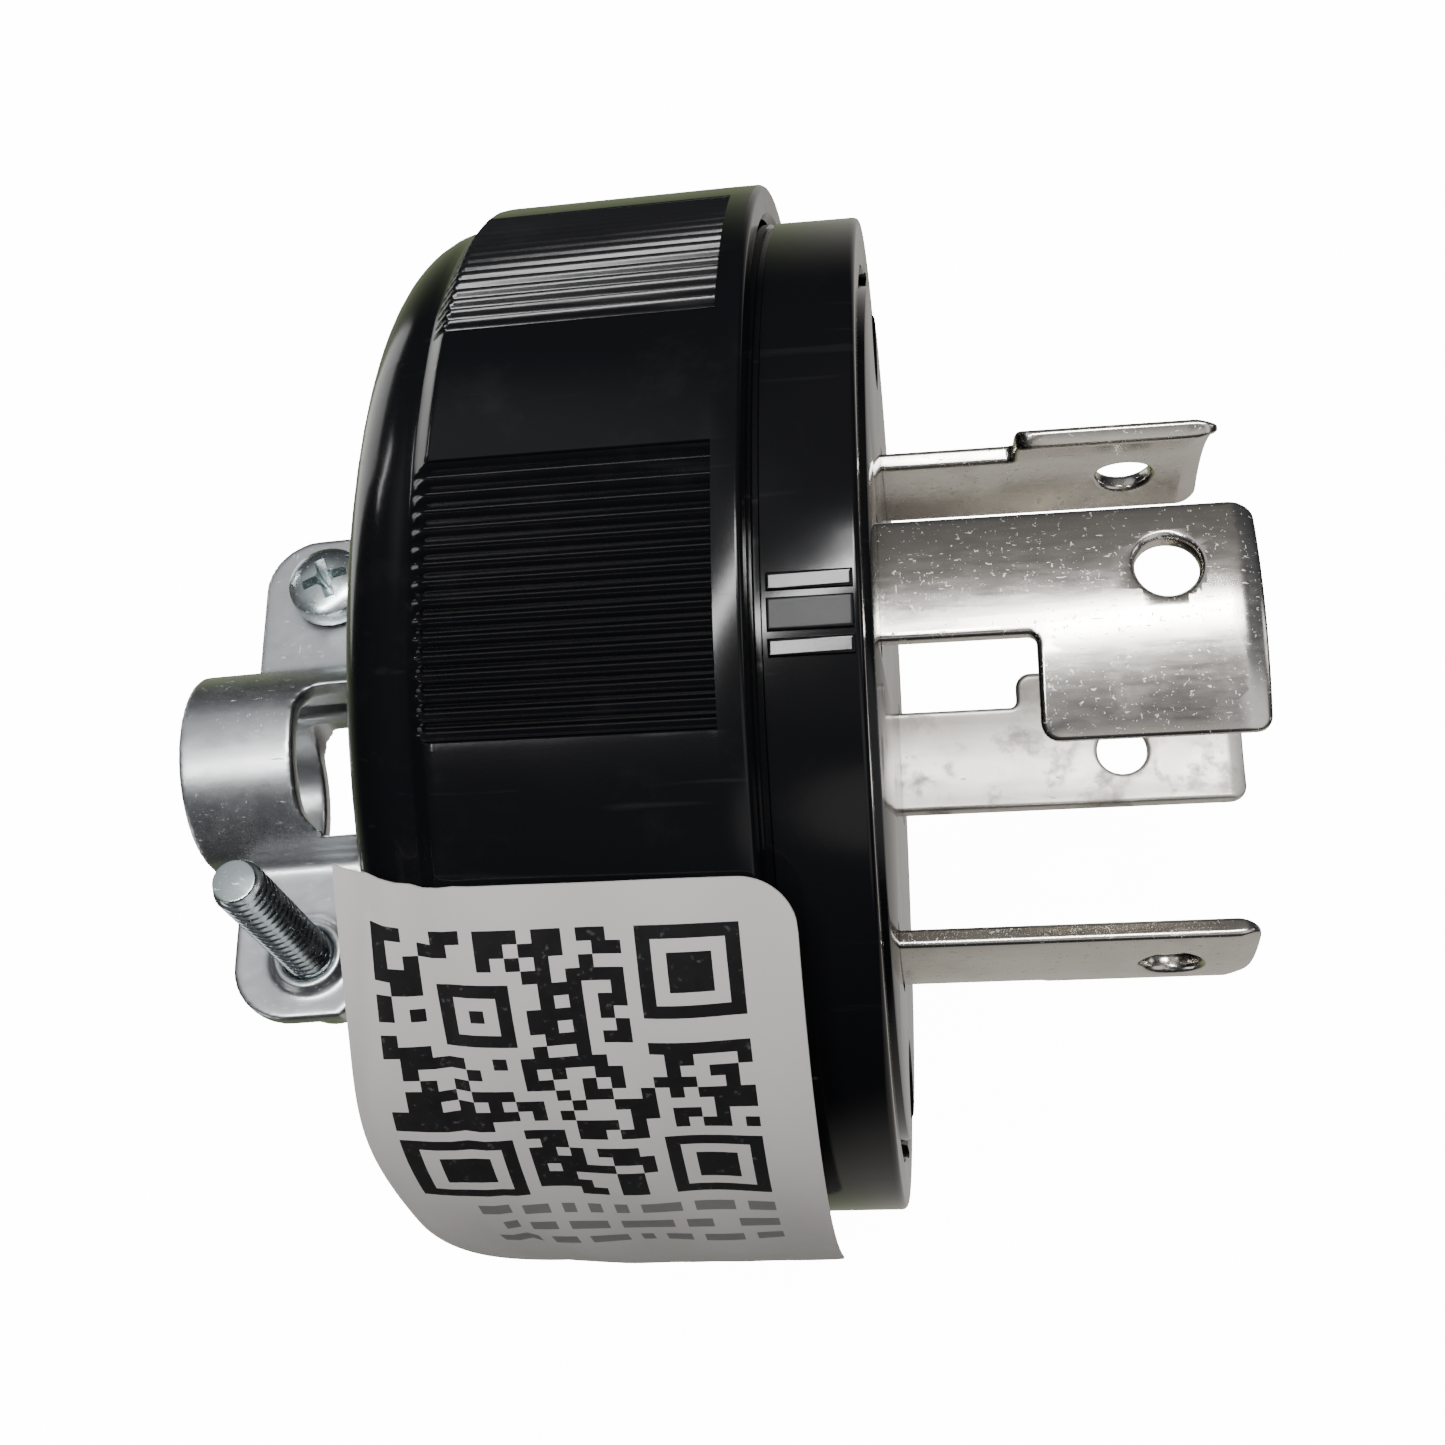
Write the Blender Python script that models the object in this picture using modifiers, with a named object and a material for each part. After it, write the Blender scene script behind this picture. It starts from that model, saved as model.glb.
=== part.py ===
"""Four-pole locking plug: ribbed cap, blade insert, terminals and a two-piece cord clamp.

The plug's axis is X, with the blades towards +X. The origin is the centre of the mating
face. An angle about the axis is measured from +Z towards +Y. The cord clamp closes along Z.
"""
import math

import bmesh
import bpy
from mathutils import Matrix, Vector

MM = 0.001
GAP = 0.3 * MM                      # between pieces that touch

# Cap, from front to back
COLLAR_R = 28.5 * MM
GRIP_R = 28.3 * MM
RING_R = 27.4 * MM
CAP_FRONT = -5.0 * MM
COLLAR_BACK = -6.4 * MM
GRIP_BACK = -18.5 * MM
RING_FRONT = -19.4 * MM
CAP_BACK = -23.1 * MM
REAR_ROUND = 4.17 * MM
REAR_WALL = 2.5 * MM
CAVITY_R = 24.4 * MM
EDGE = 0.4 * MM
GRIP_GROUPS = 9
GROUP_HALF_ANGLE = math.radians(12.5)
GROUP_CENTRE = math.radians(-14.0)
GROUP_DEPTH = 0.25 * MM
ENTRY_HALF_WIDTH = 8.2 * MM
ENTRY_HALF_HEIGHT = 10.8 * MM
ENTRY_CORNER = 4.0 * MM

# Insert that holds the blades
INSERT_R = 26.5 * MM
INSERT_BACK = -9.6 * MM
RIM_DROP = 0.3 * MM                 # the rim is lower than the central disc
DISC_R = 23.0 * MM
RIM_INNER_R = 24.0 * MM
MOAT_DEPTH = 1.1 * MM
KEY_CENTRE = math.radians(-16.9)
KEY_WIDTH = 1.6 * MM
KEY_HEIGHT = 0.25 * MM

# Blades
BLADE_R = 14.9 * MM
BLADE_THICK = 1.05 * MM
BLADE_HALF_ANGLE = math.radians(13.0)
HOOK_ANGLE = math.radians(20.1)
EARTH_HOOK_ANGLE = math.radians(8.2)
HOOK_START = 7.3 * MM
BLADE_TIP = 17.9 * MM
EARTH_TIP = 20.9 * MM
BLADE_CHAMFER = 0.9 * MM
HOOK_ROUND = 1.0 * MM
HOOK_FILLET = 0.4 * MM
BLADE_HOLE_R = 1.6 * MM
BLADE_HOLE_X = 13.6 * MM
BLADE_HOLE_Y = -0.2 * MM
BLADE_ANGLES = [math.radians(a) for a in (0.0, 86.0, 166.8, 269.0)]
EARTH_BLADE = 3

# Terminals on the back of the insert
TAB_BACK = -10.9 * MM
TAB_THICK = 1.0 * MM
TAB_HALF_WIDTH = 3.8 * MM
TAB_OUTER_R = 21.8 * MM
TERMINAL_R = 18.0 * MM
TERMINAL_BORE = 1.8 * MM
TERMINAL_SHANK = 1.6 * MM
TERMINAL_HEAD_R = 3.0 * MM
TERMINAL_HEAD = 1.9 * MM
TERMINAL_TIP = -5.5 * MM
PLATE_HALF = 3.4 * MM
PLATE_THICK = 1.0 * MM
PLATE_FRONT = -11.3 * MM
BARRIER_BACK = -15.6 * MM
BARRIER_HUB_R = 12.5 * MM
BARRIER_WALL = 1.6 * MM
BARRIER_OUTER_R = 22.6 * MM
BARRIER_ANGLES = [math.radians(a) for a in (35.0, 125.5, 205.0, 314.5)]

# Screws that hold the cap on the insert
ASSEMBLY_R = 21.3 * MM
ASSEMBLY_ANGLES = [math.radians(a) for a in (245.0, 65.0)]
ASSEMBLY_SHANK = 1.45 * MM
ASSEMBLY_HEAD_R = 2.8 * MM
ASSEMBLY_HEAD = 2.0 * MM
ASSEMBLY_SEAT = -3.2 * MM
ASSEMBLY_TIP = -16.0 * MM
NUT_R = 2.4 * MM
NUT_BORE = 1.6 * MM
NUT_FRONT = -10.4 * MM
NUT_BACK = -15.4 * MM
BOSS_R = 3.4 * MM

# Cord clamp
SHEET = 1.1 * MM
EAR_FACE = 1.7 * MM                 # height of an ear's outer face above the parting plane
CLAMP_Y = -2.4 * MM                 # the clamp floats a little to one side in the cap
CLAMP_YAW = math.radians(2.4)       # and is not quite square to it
CLAMP_SCREW_X = -31.7 * MM
CLAMP_SCREW_SPACING = 22.2 * MM
TAPPED_EAR_REACH = 14.45 * MM
UPPER_EAR_REACH = 15.0 * MM
LOWER_EAR_REACH = 13.4 * MM
EAR_FRONT = -29.0 * MM
EAR_BACK = -35.95 * MM
EAR_ROUND = 3.2 * MM
EAR_CHAMFER = 0.9 * MM
ARCH_R = 5.5 * MM
ARCH_BACK = -37.8 * MM
ARCH_FRONT = -19.05 * MM
UPPER_SLOT_BACK = -31.6 * MM
LOWER_SLOT_BACK = -34.2 * MM
SLOT_FRONT = -26.4 * MM
SLOT_WIDTH = 7.6 * MM
SLOT_Y = -1.25 * MM
SLOT_CORNER = 1.4 * MM
HOOK_TAB_HALF_WIDTH = 2.5 * MM
HOOK_TAB_TOP = 11.8 * MM
COLLAR_HEIGHT = 1.2 * MM
COLLAR_WALL = 0.6 * MM
CLAMP_SHANK = 1.32 * MM
CLAMP_HEAD_R = 2.3 * MM
CLAMP_HEAD = 1.8 * MM
CLAMP_TIP = 12.9 * MM

# Sticker with the dot code
LABEL_FRONT = -3.5 * MM
LABEL_BACK = -22.6 * MM
LABEL_THICK = 0.2 * MM
LABEL_ANGLES = (math.radians(-101.0), math.radians(-38.8))

ROUND_STEPS = 54
SMALL_STEPS = 20
OVERLAP = 1.0 * MM                  # how far a cutter runs past what it cuts


def remove_all_objects():
    for item in list(bpy.data.objects):
        bpy.data.objects.remove(item, do_unlink=True)


def new_collection(name):
    collection = bpy.data.collections.new(name)
    bpy.context.scene.collection.children.link(collection)
    return collection


def new_material(name, colour, roughness, metallic):
    material = bpy.data.materials.new(name)
    material.use_nodes = True
    shader = material.node_tree.nodes["Principled BSDF"]
    shader.inputs["Base Color"].default_value = (*colour, 1.0)
    shader.inputs["Roughness"].default_value = roughness
    shader.inputs["Metallic"].default_value = metallic
    return material


def polar(radius, angle, x=0.0):
    """A point at a radius and an angle about the plug's axis."""
    return Vector((x, radius * math.sin(angle), radius * math.cos(angle)))


def new_object(name, mesh, collection):
    item = bpy.data.objects.new(name, mesh)
    collection.objects.link(item)
    return item


def shade(item):
    item.data.shade_smooth()
    item.data.set_sharp_from_angle(angle=math.radians(30.0))


def add_material(item, material):
    item.data.materials.clear()
    item.data.materials.append(material)


def bake(item):
    """Replace the object's mesh with its evaluated one and drop the modifiers."""
    bpy.context.view_layer.update()
    evaluated = item.evaluated_get(bpy.context.evaluated_depsgraph_get())
    mesh = bpy.data.meshes.new_from_object(evaluated)
    item.modifiers.clear()
    item.data = mesh
    return item


def cylinder(name, collection, radius, start, end, steps=SMALL_STEPS):
    """A closed cylinder between two points."""
    start = Vector(start)
    end = Vector(end)
    turn = (end - start).to_track_quat("Z", "Y").to_matrix().to_4x4()
    place = Matrix.Translation((start + end) / 2) @ turn
    shape = bmesh.new()
    bmesh.ops.create_cone(shape, cap_ends=True, segments=steps, radius1=radius,
                          radius2=radius, depth=(end - start).length, matrix=place)
    mesh = bpy.data.meshes.new(name)
    shape.to_mesh(mesh)
    shape.free()
    return new_object(name, mesh, collection)


def box(name, collection, low, high):
    """A closed box between two corners."""
    low = Vector(low)
    high = Vector(high)
    place = Matrix.Translation((low + high) / 2) @ Matrix.Diagonal((*(high - low), 1.0))
    shape = bmesh.new()
    bmesh.ops.create_cube(shape, size=1.0, matrix=place)
    mesh = bpy.data.meshes.new(name)
    shape.to_mesh(mesh)
    shape.free()
    return new_object(name, mesh, collection)


def turned(name, collection, profile, steps, axis="X", closed=True):
    """A profile of (along the axis, radius) points, turned once round X or Z.

    The points run from the far end of the axis to the near end on the outer side.
    """
    if axis == "X":
        points = [(along, radius, 0.0) for along, radius in profile]
    else:
        points = [(radius, 0.0, along) for along, radius in profile]
    edges = [(i, i + 1) for i in range(len(points) - 1)]
    if closed:
        edges.append((len(points) - 1, 0))
    mesh = bpy.data.meshes.new(name)
    mesh.from_pydata(points, edges, [])
    item = new_object(name, mesh, collection)
    screw = item.modifiers.new("turn", "SCREW")
    screw.axis = axis
    screw.angle = math.tau
    screw.steps = steps
    screw.render_steps = steps
    screw.use_merge_vertices = True
    screw.merge_threshold = 0.000001
    return bake(item)


def prism(name, collection, outline, low, high, plane="XY"):
    """A flat outline given thickness: XY outlines rise along Z, YZ outlines along X."""
    curve = bpy.data.curves.new(name, "CURVE")
    curve.dimensions = "2D"
    curve.fill_mode = "BOTH"
    curve.extrude = (high - low) / 2
    spline = curve.splines.new("POLY")
    spline.points.add(len(outline) - 1)
    for point, (u, v) in zip(spline.points, outline):
        point.co = (u, v, 0.0, 1.0)
    spline.use_cyclic_u = True
    guide = bpy.data.objects.new(name + "_outline", curve)
    collection.objects.link(guide)
    if plane == "XY":
        place = Matrix.Translation((0.0, 0.0, (low + high) / 2))
    else:
        axes = Matrix(((0, 0, 1, 0), (1, 0, 0, 0), (0, 1, 0, 0), (0, 0, 0, 1)))
        place = Matrix.Translation(((low + high) / 2, 0.0, 0.0)) @ axes
    guide.matrix_world = place
    bpy.context.view_layer.update()
    evaluated = guide.evaluated_get(bpy.context.evaluated_depsgraph_get())
    mesh = bpy.data.meshes.new_from_object(evaluated)
    bpy.data.objects.remove(guide, do_unlink=True)
    shape = bmesh.new()
    shape.from_mesh(mesh)
    bmesh.ops.remove_doubles(shape, verts=shape.verts, dist=0.000001)
    bmesh.ops.transform(shape, matrix=place, verts=shape.verts)
    bmesh.ops.recalc_face_normals(shape, faces=shape.faces)
    shape.to_mesh(mesh)
    shape.free()
    return new_object(name, mesh, collection)


def combine(item, operation, others):
    """Union, cut or intersect an object with others, then keep the result as its mesh."""
    for other in others:
        step = item.modifiers.new(operation.lower(), "BOOLEAN")
        step.operation = operation
        step.solver = "EXACT"
        step.object = other
    bake(item)
    for other in others:
        other.hide_render = True
        other.display_type = "WIRE"
        other.hide_set(True)
    return item


def arc(centre, radius, start, end, count):
    """Points on an arc from one angle to another, in degrees."""
    points = []
    for i in range(count + 1):
        angle = math.radians(start + (end - start) * i / count)
        points.append((centre[0] + radius * math.cos(angle),
                       centre[1] + radius * math.sin(angle)))
    return points


def rounded_rectangle(half_u, half_v, corner, count=4):
    outline = []
    for quarter, (side_u, side_v) in enumerate(((1, 1), (-1, 1), (-1, -1), (1, -1))):
        centre = (side_u * (half_u - corner), side_v * (half_v - corner))
        outline += arc(centre, corner, 90 * quarter, 90 * quarter + 90, count)
    return outline


def cap(parts, cutters, material):
    """Housing: collar, grip, rounded back, cord entry and two screw bosses."""
    inner_back = CAP_BACK + REAR_WALL
    bore = INSERT_R + GAP
    round_centre = (CAP_BACK + REAR_ROUND, RING_R - REAR_ROUND)
    start = 90 + math.degrees(math.asin((round_centre[0] - RING_FRONT) / REAR_ROUND))
    entry_r = 2.0 * MM
    corner = 2.0 * MM
    profile = [
        (CAP_FRONT, bore),
        (CAP_FRONT, COLLAR_R - EDGE),
        (CAP_FRONT - EDGE, COLLAR_R),
        (COLLAR_BACK, COLLAR_R),
        (GRIP_BACK, GRIP_R),
        *arc(round_centre, REAR_ROUND, start, 180, 5),
        (CAP_BACK, entry_r),
        (inner_back, entry_r),
        (inner_back, CAVITY_R - corner),
        (inner_back + corner, CAVITY_R),
        (INSERT_BACK - GAP, CAVITY_R),
        (INSERT_BACK - GAP, bore),
    ]
    item = turned("cap", parts, profile, ROUND_STEPS)
    bosses = []
    cuts = []
    for number, angle in enumerate(ASSEMBLY_ANGLES, start=1):
        front = polar(ASSEMBLY_R, angle, INSERT_BACK - GAP)
        bosses.append(cylinder(f"boss_{number}", cutters, BOSS_R, front,
                               polar(ASSEMBLY_R, angle, inner_back - OVERLAP)))
        mouth = polar(ASSEMBLY_R, angle, INSERT_BACK)
        cuts.append(cylinder(f"nut_pocket_{number}", cutters, NUT_R + GAP, mouth,
                             polar(ASSEMBLY_R, angle, NUT_BACK - GAP)))
        cuts.append(cylinder(f"screw_room_{number}", cutters, NUT_BORE + GAP, mouth,
                             polar(ASSEMBLY_R, angle, inner_back + OVERLAP / 2)))
    combine(item, "UNION", bosses)
    outline = rounded_rectangle(ENTRY_HALF_WIDTH, ENTRY_HALF_HEIGHT, ENTRY_CORNER)
    cuts.append(prism("cord_entry", cutters, outline, CAP_BACK - OVERLAP,
                      inner_back + OVERLAP, plane="YZ"))
    combine(item, "DIFFERENCE", cuts)
    combine(item, "DIFFERENCE", grip_recesses(cutters))
    add_material(item, material)
    shade(item)


def grip_recesses(cutters):
    """The shallow fields of the cap's side that carry its fine ribs."""
    fields = []
    for number in range(GRIP_GROUPS):
        centre = GROUP_CENTRE + number * math.tau / GRIP_GROUPS
        shell = turned(f"grip_field_{number + 1}", cutters, [
            (COLLAR_BACK, COLLAR_R + OVERLAP),
            (GRIP_BACK - OVERLAP, COLLAR_R + OVERLAP),
            (GRIP_BACK - OVERLAP, GRIP_R - GROUP_DEPTH),
            (COLLAR_BACK, COLLAR_R - GROUP_DEPTH),
        ], ROUND_STEPS)
        reach = COLLAR_R + 3 * OVERLAP
        wedge = [(0.0, 0.0)]
        for side in (-1, 1):
            angle = centre + side * GROUP_HALF_ANGLE
            wedge.append((reach * math.sin(angle), reach * math.cos(angle)))
        sector = prism(f"grip_sector_{number + 1}", cutters, wedge,
                       GRIP_BACK - 2 * OVERLAP, COLLAR_BACK + OVERLAP, plane="YZ")
        fields.append(combine(shell, "INTERSECT", [sector]))
    return fields


def blade_holder(parts, cutters, material):
    """Insert with the mating face, the blade slots and the screw holes."""
    centre_r = 1.0 * MM
    profile = [
        (0.0, centre_r),
        (0.0, DISC_R),
        (-MOAT_DEPTH, DISC_R + GAP),
        (-MOAT_DEPTH, RIM_INNER_R),
        (-RIM_DROP, RIM_INNER_R + GAP),
        (-RIM_DROP, INSERT_R - EDGE),
        (-RIM_DROP - EDGE, INSERT_R),
        (INSERT_BACK, INSERT_R),
        (INSERT_BACK, centre_r),
    ]
    item = turned("blade_holder", parts, profile, ROUND_STEPS)
    plug = cylinder("holder_core", cutters, centre_r + OVERLAP / 2, (0.0, 0.0, 0.0),
                    (INSERT_BACK, 0.0, 0.0))
    key = box("holder_key", cutters,
              (CAP_FRONT + GAP, -KEY_WIDTH / 2, INSERT_R - OVERLAP),
              (-RIM_DROP - EDGE, KEY_WIDTH / 2, INSERT_R + KEY_HEIGHT))
    key.rotation_euler.x = -KEY_CENTRE
    combine(item, "UNION", [plug, key])
    cuts = []
    slot_profile = [
        (OVERLAP, BLADE_R + GAP),
        (INSERT_BACK - OVERLAP, BLADE_R + GAP),
        (INSERT_BACK - OVERLAP, BLADE_R - BLADE_THICK - GAP),
        (OVERLAP, BLADE_R - BLADE_THICK - GAP),
    ]
    half_width = BLADE_R * math.sin(BLADE_HALF_ANGLE) + GAP
    for number, angle in enumerate(BLADE_ANGLES, start=1):
        slot = turned(f"blade_slot_{number}", cutters, slot_profile, 2 * ROUND_STEPS)
        window = box(f"slot_window_{number}", cutters,
                     (INSERT_BACK - 2 * OVERLAP, -half_width, BLADE_R / 2),
                     (2 * OVERLAP, half_width, BLADE_R + 2 * OVERLAP))
        slot.rotation_euler.x = -angle
        window.rotation_euler.x = -angle
        cuts.append(combine(slot, "INTERSECT", [window]))
        cuts.append(cylinder(f"terminal_room_{number}", cutters, TERMINAL_SHANK + 2 * GAP,
                             polar(TERMINAL_R, angle, TERMINAL_TIP + GAP),
                             polar(TERMINAL_R, angle, INSERT_BACK - OVERLAP)))
    for number, angle in enumerate(ASSEMBLY_ANGLES, start=1):
        cuts.append(cylinder(f"counterbore_{number}", cutters, ASSEMBLY_HEAD_R + GAP,
                             polar(ASSEMBLY_R, angle, OVERLAP),
                             polar(ASSEMBLY_R, angle, ASSEMBLY_SEAT)))
        cuts.append(cylinder(f"screw_hole_{number}", cutters, ASSEMBLY_SHANK + GAP,
                             polar(ASSEMBLY_R, angle, OVERLAP),
                             polar(ASSEMBLY_R, angle, INSERT_BACK - OVERLAP)))
    combine(item, "DIFFERENCE", cuts)
    add_material(item, material)
    shade(item)


def blade_shape(name, parts, cutters, tip, hook_angle):
    """A curved L-shaped blade with its terminal tab, at angle 0."""
    inner = BLADE_R - BLADE_THICK
    middle = (BLADE_R + inner) / 2
    item = turned(name, parts, [
        (tip, BLADE_R), (TAB_BACK, BLADE_R), (TAB_BACK, inner), (tip, inner),
    ], 90)
    side = middle * math.sin(BLADE_HALF_ANGLE)
    hook = middle * math.sin(BLADE_HALF_ANGLE + hook_angle)
    back = TAB_BACK - OVERLAP
    outline = [
        (back, side),
        (back, -side),
        *arc((HOOK_START - HOOK_FILLET, -side - HOOK_FILLET), HOOK_FILLET, 90, 0, 2),
        *arc((HOOK_START + HOOK_ROUND, HOOK_ROUND - hook), HOOK_ROUND, 180, 270, 3),
        (tip - BLADE_CHAMFER, -hook),
        (tip, -hook + BLADE_CHAMFER),
        (tip, side - BLADE_CHAMFER),
        (tip - BLADE_CHAMFER, side),
    ]
    plan = prism(name + "_plan", cutters, outline, inner / 2, BLADE_R + OVERLAP)
    combine(item, "INTERSECT", [plan])
    tab = box(name + "_tab", cutters, (TAB_BACK, -TAB_HALF_WIDTH, inner - 2 * GAP),
              (TAB_BACK + TAB_THICK, TAB_HALF_WIDTH, TAB_OUTER_R))
    combine(item, "UNION", [tab])
    holes = [
        cylinder(name + "_hole", cutters, BLADE_HOLE_R, (BLADE_HOLE_X, BLADE_HOLE_Y, inner / 2),
                 (BLADE_HOLE_X, BLADE_HOLE_Y, BLADE_R + OVERLAP)),
        cylinder(name + "_tap", cutters, TERMINAL_BORE,
                 polar(TERMINAL_R, 0.0, TAB_BACK - OVERLAP),
                 polar(TERMINAL_R, 0.0, TAB_BACK + TAB_THICK + OVERLAP)),
    ]
    combine(item, "DIFFERENCE", holes)
    return item


def blades(parts, cutters, material):
    line_mesh = None
    for number, angle in enumerate(BLADE_ANGLES, start=1):
        name = f"blade_{number}"
        if number == EARTH_BLADE:
            item = blade_shape(name, parts, cutters, EARTH_TIP, EARTH_HOOK_ANGLE)
        elif line_mesh is None:
            item = blade_shape(name, parts, cutters, BLADE_TIP, HOOK_ANGLE)
            line_mesh = item.data
        else:
            item = new_object(name, line_mesh, parts)
        item.rotation_euler.x = -angle
        add_material(item, material)
        shade(item)


def terminal_barrier(parts, cutters, material):
    """Insulating ring with a wall between each two terminals."""
    front = INSERT_BACK - GAP
    inner = BARRIER_HUB_R - BARRIER_WALL
    item = turned("terminal_barrier", parts, [
        (front, BARRIER_HUB_R), (BARRIER_BACK, BARRIER_HUB_R),
        (BARRIER_BACK, inner), (front, inner),
    ], 36)
    walls = []
    for number, angle in enumerate(BARRIER_ANGLES, start=1):
        wall = box(f"barrier_wall_{number}", cutters,
                   (BARRIER_BACK, -BARRIER_WALL / 2, inner + BARRIER_WALL / 2),
                   (front, BARRIER_WALL / 2, BARRIER_OUTER_R))
        wall.rotation_euler.x = -angle
        walls.append(wall)
    combine(item, "UNION", walls)
    add_material(item, material)
    shade(item)


def screw_shape(name, parts, cutters, shank, head_r, head, length):
    """A pan head screw. Its origin is the head's underside, and the shank runs to -Z."""
    chamfer = 0.3 * shank
    core = 0.15 * shank
    profile = [
        (head, core),
        (head, 0.55 * head_r),
        (0.72 * head, 0.88 * head_r),
        (0.3 * head, head_r),
        (0.0, head_r),
        (0.0, shank),
        (-length + chamfer, shank),
        (-length, shank - chamfer),
        (-length, core),
    ]
    item = turned(name, parts, profile, SMALL_STEPS, axis="Z")
    fill = cylinder(name + "_core", cutters, 0.4 * shank, (0.0, 0.0, -length),
                    (0.0, 0.0, head))
    combine(item, "UNION", [fill])
    arm = 0.58 * head_r
    width = 0.14 * head_r
    low = 0.42 * head
    cross = [
        box(name + "_recess_1", cutters, (-arm, -width, low), (arm, width, head + OVERLAP)),
        box(name + "_recess_2", cutters, (-width, -arm, low), (width, arm, head + OVERLAP)),
    ]
    combine(item, "DIFFERENCE", cross)
    return item


def place_along(item, point, direction):
    """Put a screw's head underside at a point, with the head facing a direction."""
    item.rotation_mode = "QUATERNION"
    item.rotation_quaternion = Vector(direction).to_track_quat("Z", "Y")
    item.location = point


def terminal_screws(parts, cutters, material):
    seat = PLATE_FRONT - PLATE_THICK - GAP
    mesh = None
    for number, angle in enumerate(BLADE_ANGLES, start=1):
        name = f"terminal_screw_{number}"
        if mesh is None:
            item = screw_shape(name, parts, cutters, TERMINAL_SHANK, TERMINAL_HEAD_R,
                               TERMINAL_HEAD, TERMINAL_TIP - seat)
            mesh = item.data
        else:
            item = new_object(name, mesh, parts)
        place_along(item, polar(TERMINAL_R, angle, seat), (-1.0, 0.0, 0.0))
        add_material(item, material)
        shade(item)


def terminal_plates(parts, cutters, material):
    mesh = None
    for number, angle in enumerate(BLADE_ANGLES, start=1):
        name = f"terminal_plate_{number}"
        if mesh is None:
            item = box(name, parts,
                       (PLATE_FRONT - PLATE_THICK, -PLATE_HALF, TERMINAL_R - PLATE_HALF),
                       (PLATE_FRONT, PLATE_HALF, TERMINAL_R + PLATE_HALF))
            hole = cylinder("plate_hole", cutters, TERMINAL_BORE + GAP,
                            polar(TERMINAL_R, 0.0, PLATE_FRONT + OVERLAP),
                            polar(TERMINAL_R, 0.0, PLATE_FRONT - PLATE_THICK - OVERLAP))
            combine(item, "DIFFERENCE", [hole])
            mesh = item.data
        else:
            item = new_object(name, mesh, parts)
        item.rotation_euler.x = -angle
        add_material(item, material)
        shade(item)


def assembly_screws(parts, cutters, steel, brass):
    """The screws that pull the cap onto the insert, and their nuts in the cap."""
    seat = ASSEMBLY_SEAT + GAP
    mesh = None
    for number, angle in enumerate(ASSEMBLY_ANGLES, start=1):
        name = f"assembly_screw_{number}"
        if mesh is None:
            item = screw_shape(name, parts, cutters, ASSEMBLY_SHANK, ASSEMBLY_HEAD_R,
                               ASSEMBLY_HEAD, seat - ASSEMBLY_TIP)
            mesh = item.data
        else:
            item = new_object(name, mesh, parts)
        place_along(item, polar(ASSEMBLY_R, angle, seat), (1.0, 0.0, 0.0))
        add_material(item, steel)
        shade(item)
        nut = turned(f"assembly_nut_{number}", parts, [
            (NUT_FRONT, NUT_R), (NUT_BACK, NUT_R), (NUT_BACK, NUT_BORE),
            (NUT_FRONT, NUT_BORE),
        ], SMALL_STEPS)
        nut.location = polar(ASSEMBLY_R, angle)
        add_material(nut, brass)
        shade(nut)


def ear_plan(reach):
    """Plan of both ears: the tapped one towards -Y, the plain one of a given reach."""
    low = -TAPPED_EAR_REACH
    back = EAR_BACK + EAR_ROUND
    return [
        *arc((back, low + EAR_ROUND), EAR_ROUND, 270, 180, 4),
        *arc((back, reach - EAR_ROUND), EAR_ROUND, 180, 90, 4),
        (EAR_FRONT - EAR_CHAMFER, reach),
        (EAR_FRONT, reach - EAR_CHAMFER),
        (EAR_FRONT, low + EAR_CHAMFER),
        (EAR_FRONT - EAR_CHAMFER, low),
    ]


def arch_section(radius, foot):
    """Cross-section of the arch: a half circle on straight legs down to a foot height."""
    centre = EAR_FACE + 0.1 * MM
    return [(radius, foot), *arc((0.0, centre), radius, 0, 180, 14), (-radius, foot)]


def clamp_shape(name, parts, cutters, reach, slot_back):
    """One clamp half above the parting plane, centred on the clamp's own axis."""
    item = prism(name, parts, ear_plan(reach), EAR_FACE - SHEET, EAR_FACE)
    arch = prism(name + "_arch", cutters, arch_section(ARCH_R, EAR_FACE - SHEET),
                 ARCH_BACK, ARCH_FRONT, plane="YZ")
    tab = box(name + "_tab", cutters, (ARCH_FRONT - SHEET, -HOOK_TAB_HALF_WIDTH, EAR_FACE),
              (ARCH_FRONT, HOOK_TAB_HALF_WIDTH, HOOK_TAB_TOP))
    tapped_y = -CLAMP_SCREW_SPACING / 2
    collar = cylinder(name + "_collar", cutters, CLAMP_SHANK + COLLAR_WALL + GAP,
                      (CLAMP_SCREW_X, tapped_y, EAR_FACE - SHEET / 2),
                      (CLAMP_SCREW_X, tapped_y, EAR_FACE + COLLAR_HEIGHT))
    combine(item, "UNION", [arch, tab, collar])
    tunnel = prism(name + "_tunnel", cutters, arch_section(ARCH_R - SHEET, -OVERLAP),
                   ARCH_BACK - OVERLAP, ARCH_FRONT + OVERLAP, plane="YZ")
    middle = (slot_back + SLOT_FRONT) / 2
    half_length = (SLOT_FRONT - slot_back) / 2
    window_plan = [(middle + u, SLOT_Y + v) for u, v in
                   rounded_rectangle(half_length, SLOT_WIDTH / 2, SLOT_CORNER)]
    window = prism(name + "_window", cutters, window_plan, EAR_FACE,
                   EAR_FACE + 2 * ARCH_R)
    cuts = [tunnel, window]
    for label, y, radius in (("tapped", tapped_y, CLAMP_SHANK + 0.5 * GAP),
                             ("plain", -tapped_y, CLAMP_SHANK + 1.2 * GAP)):
        cuts.append(cylinder(f"{name}_{label}_hole", cutters, radius,
                             (CLAMP_SCREW_X, y, -OVERLAP),
                             (CLAMP_SCREW_X, y, EAR_FACE + 3 * OVERLAP)))
    return combine(item, "DIFFERENCE", cuts)


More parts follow.
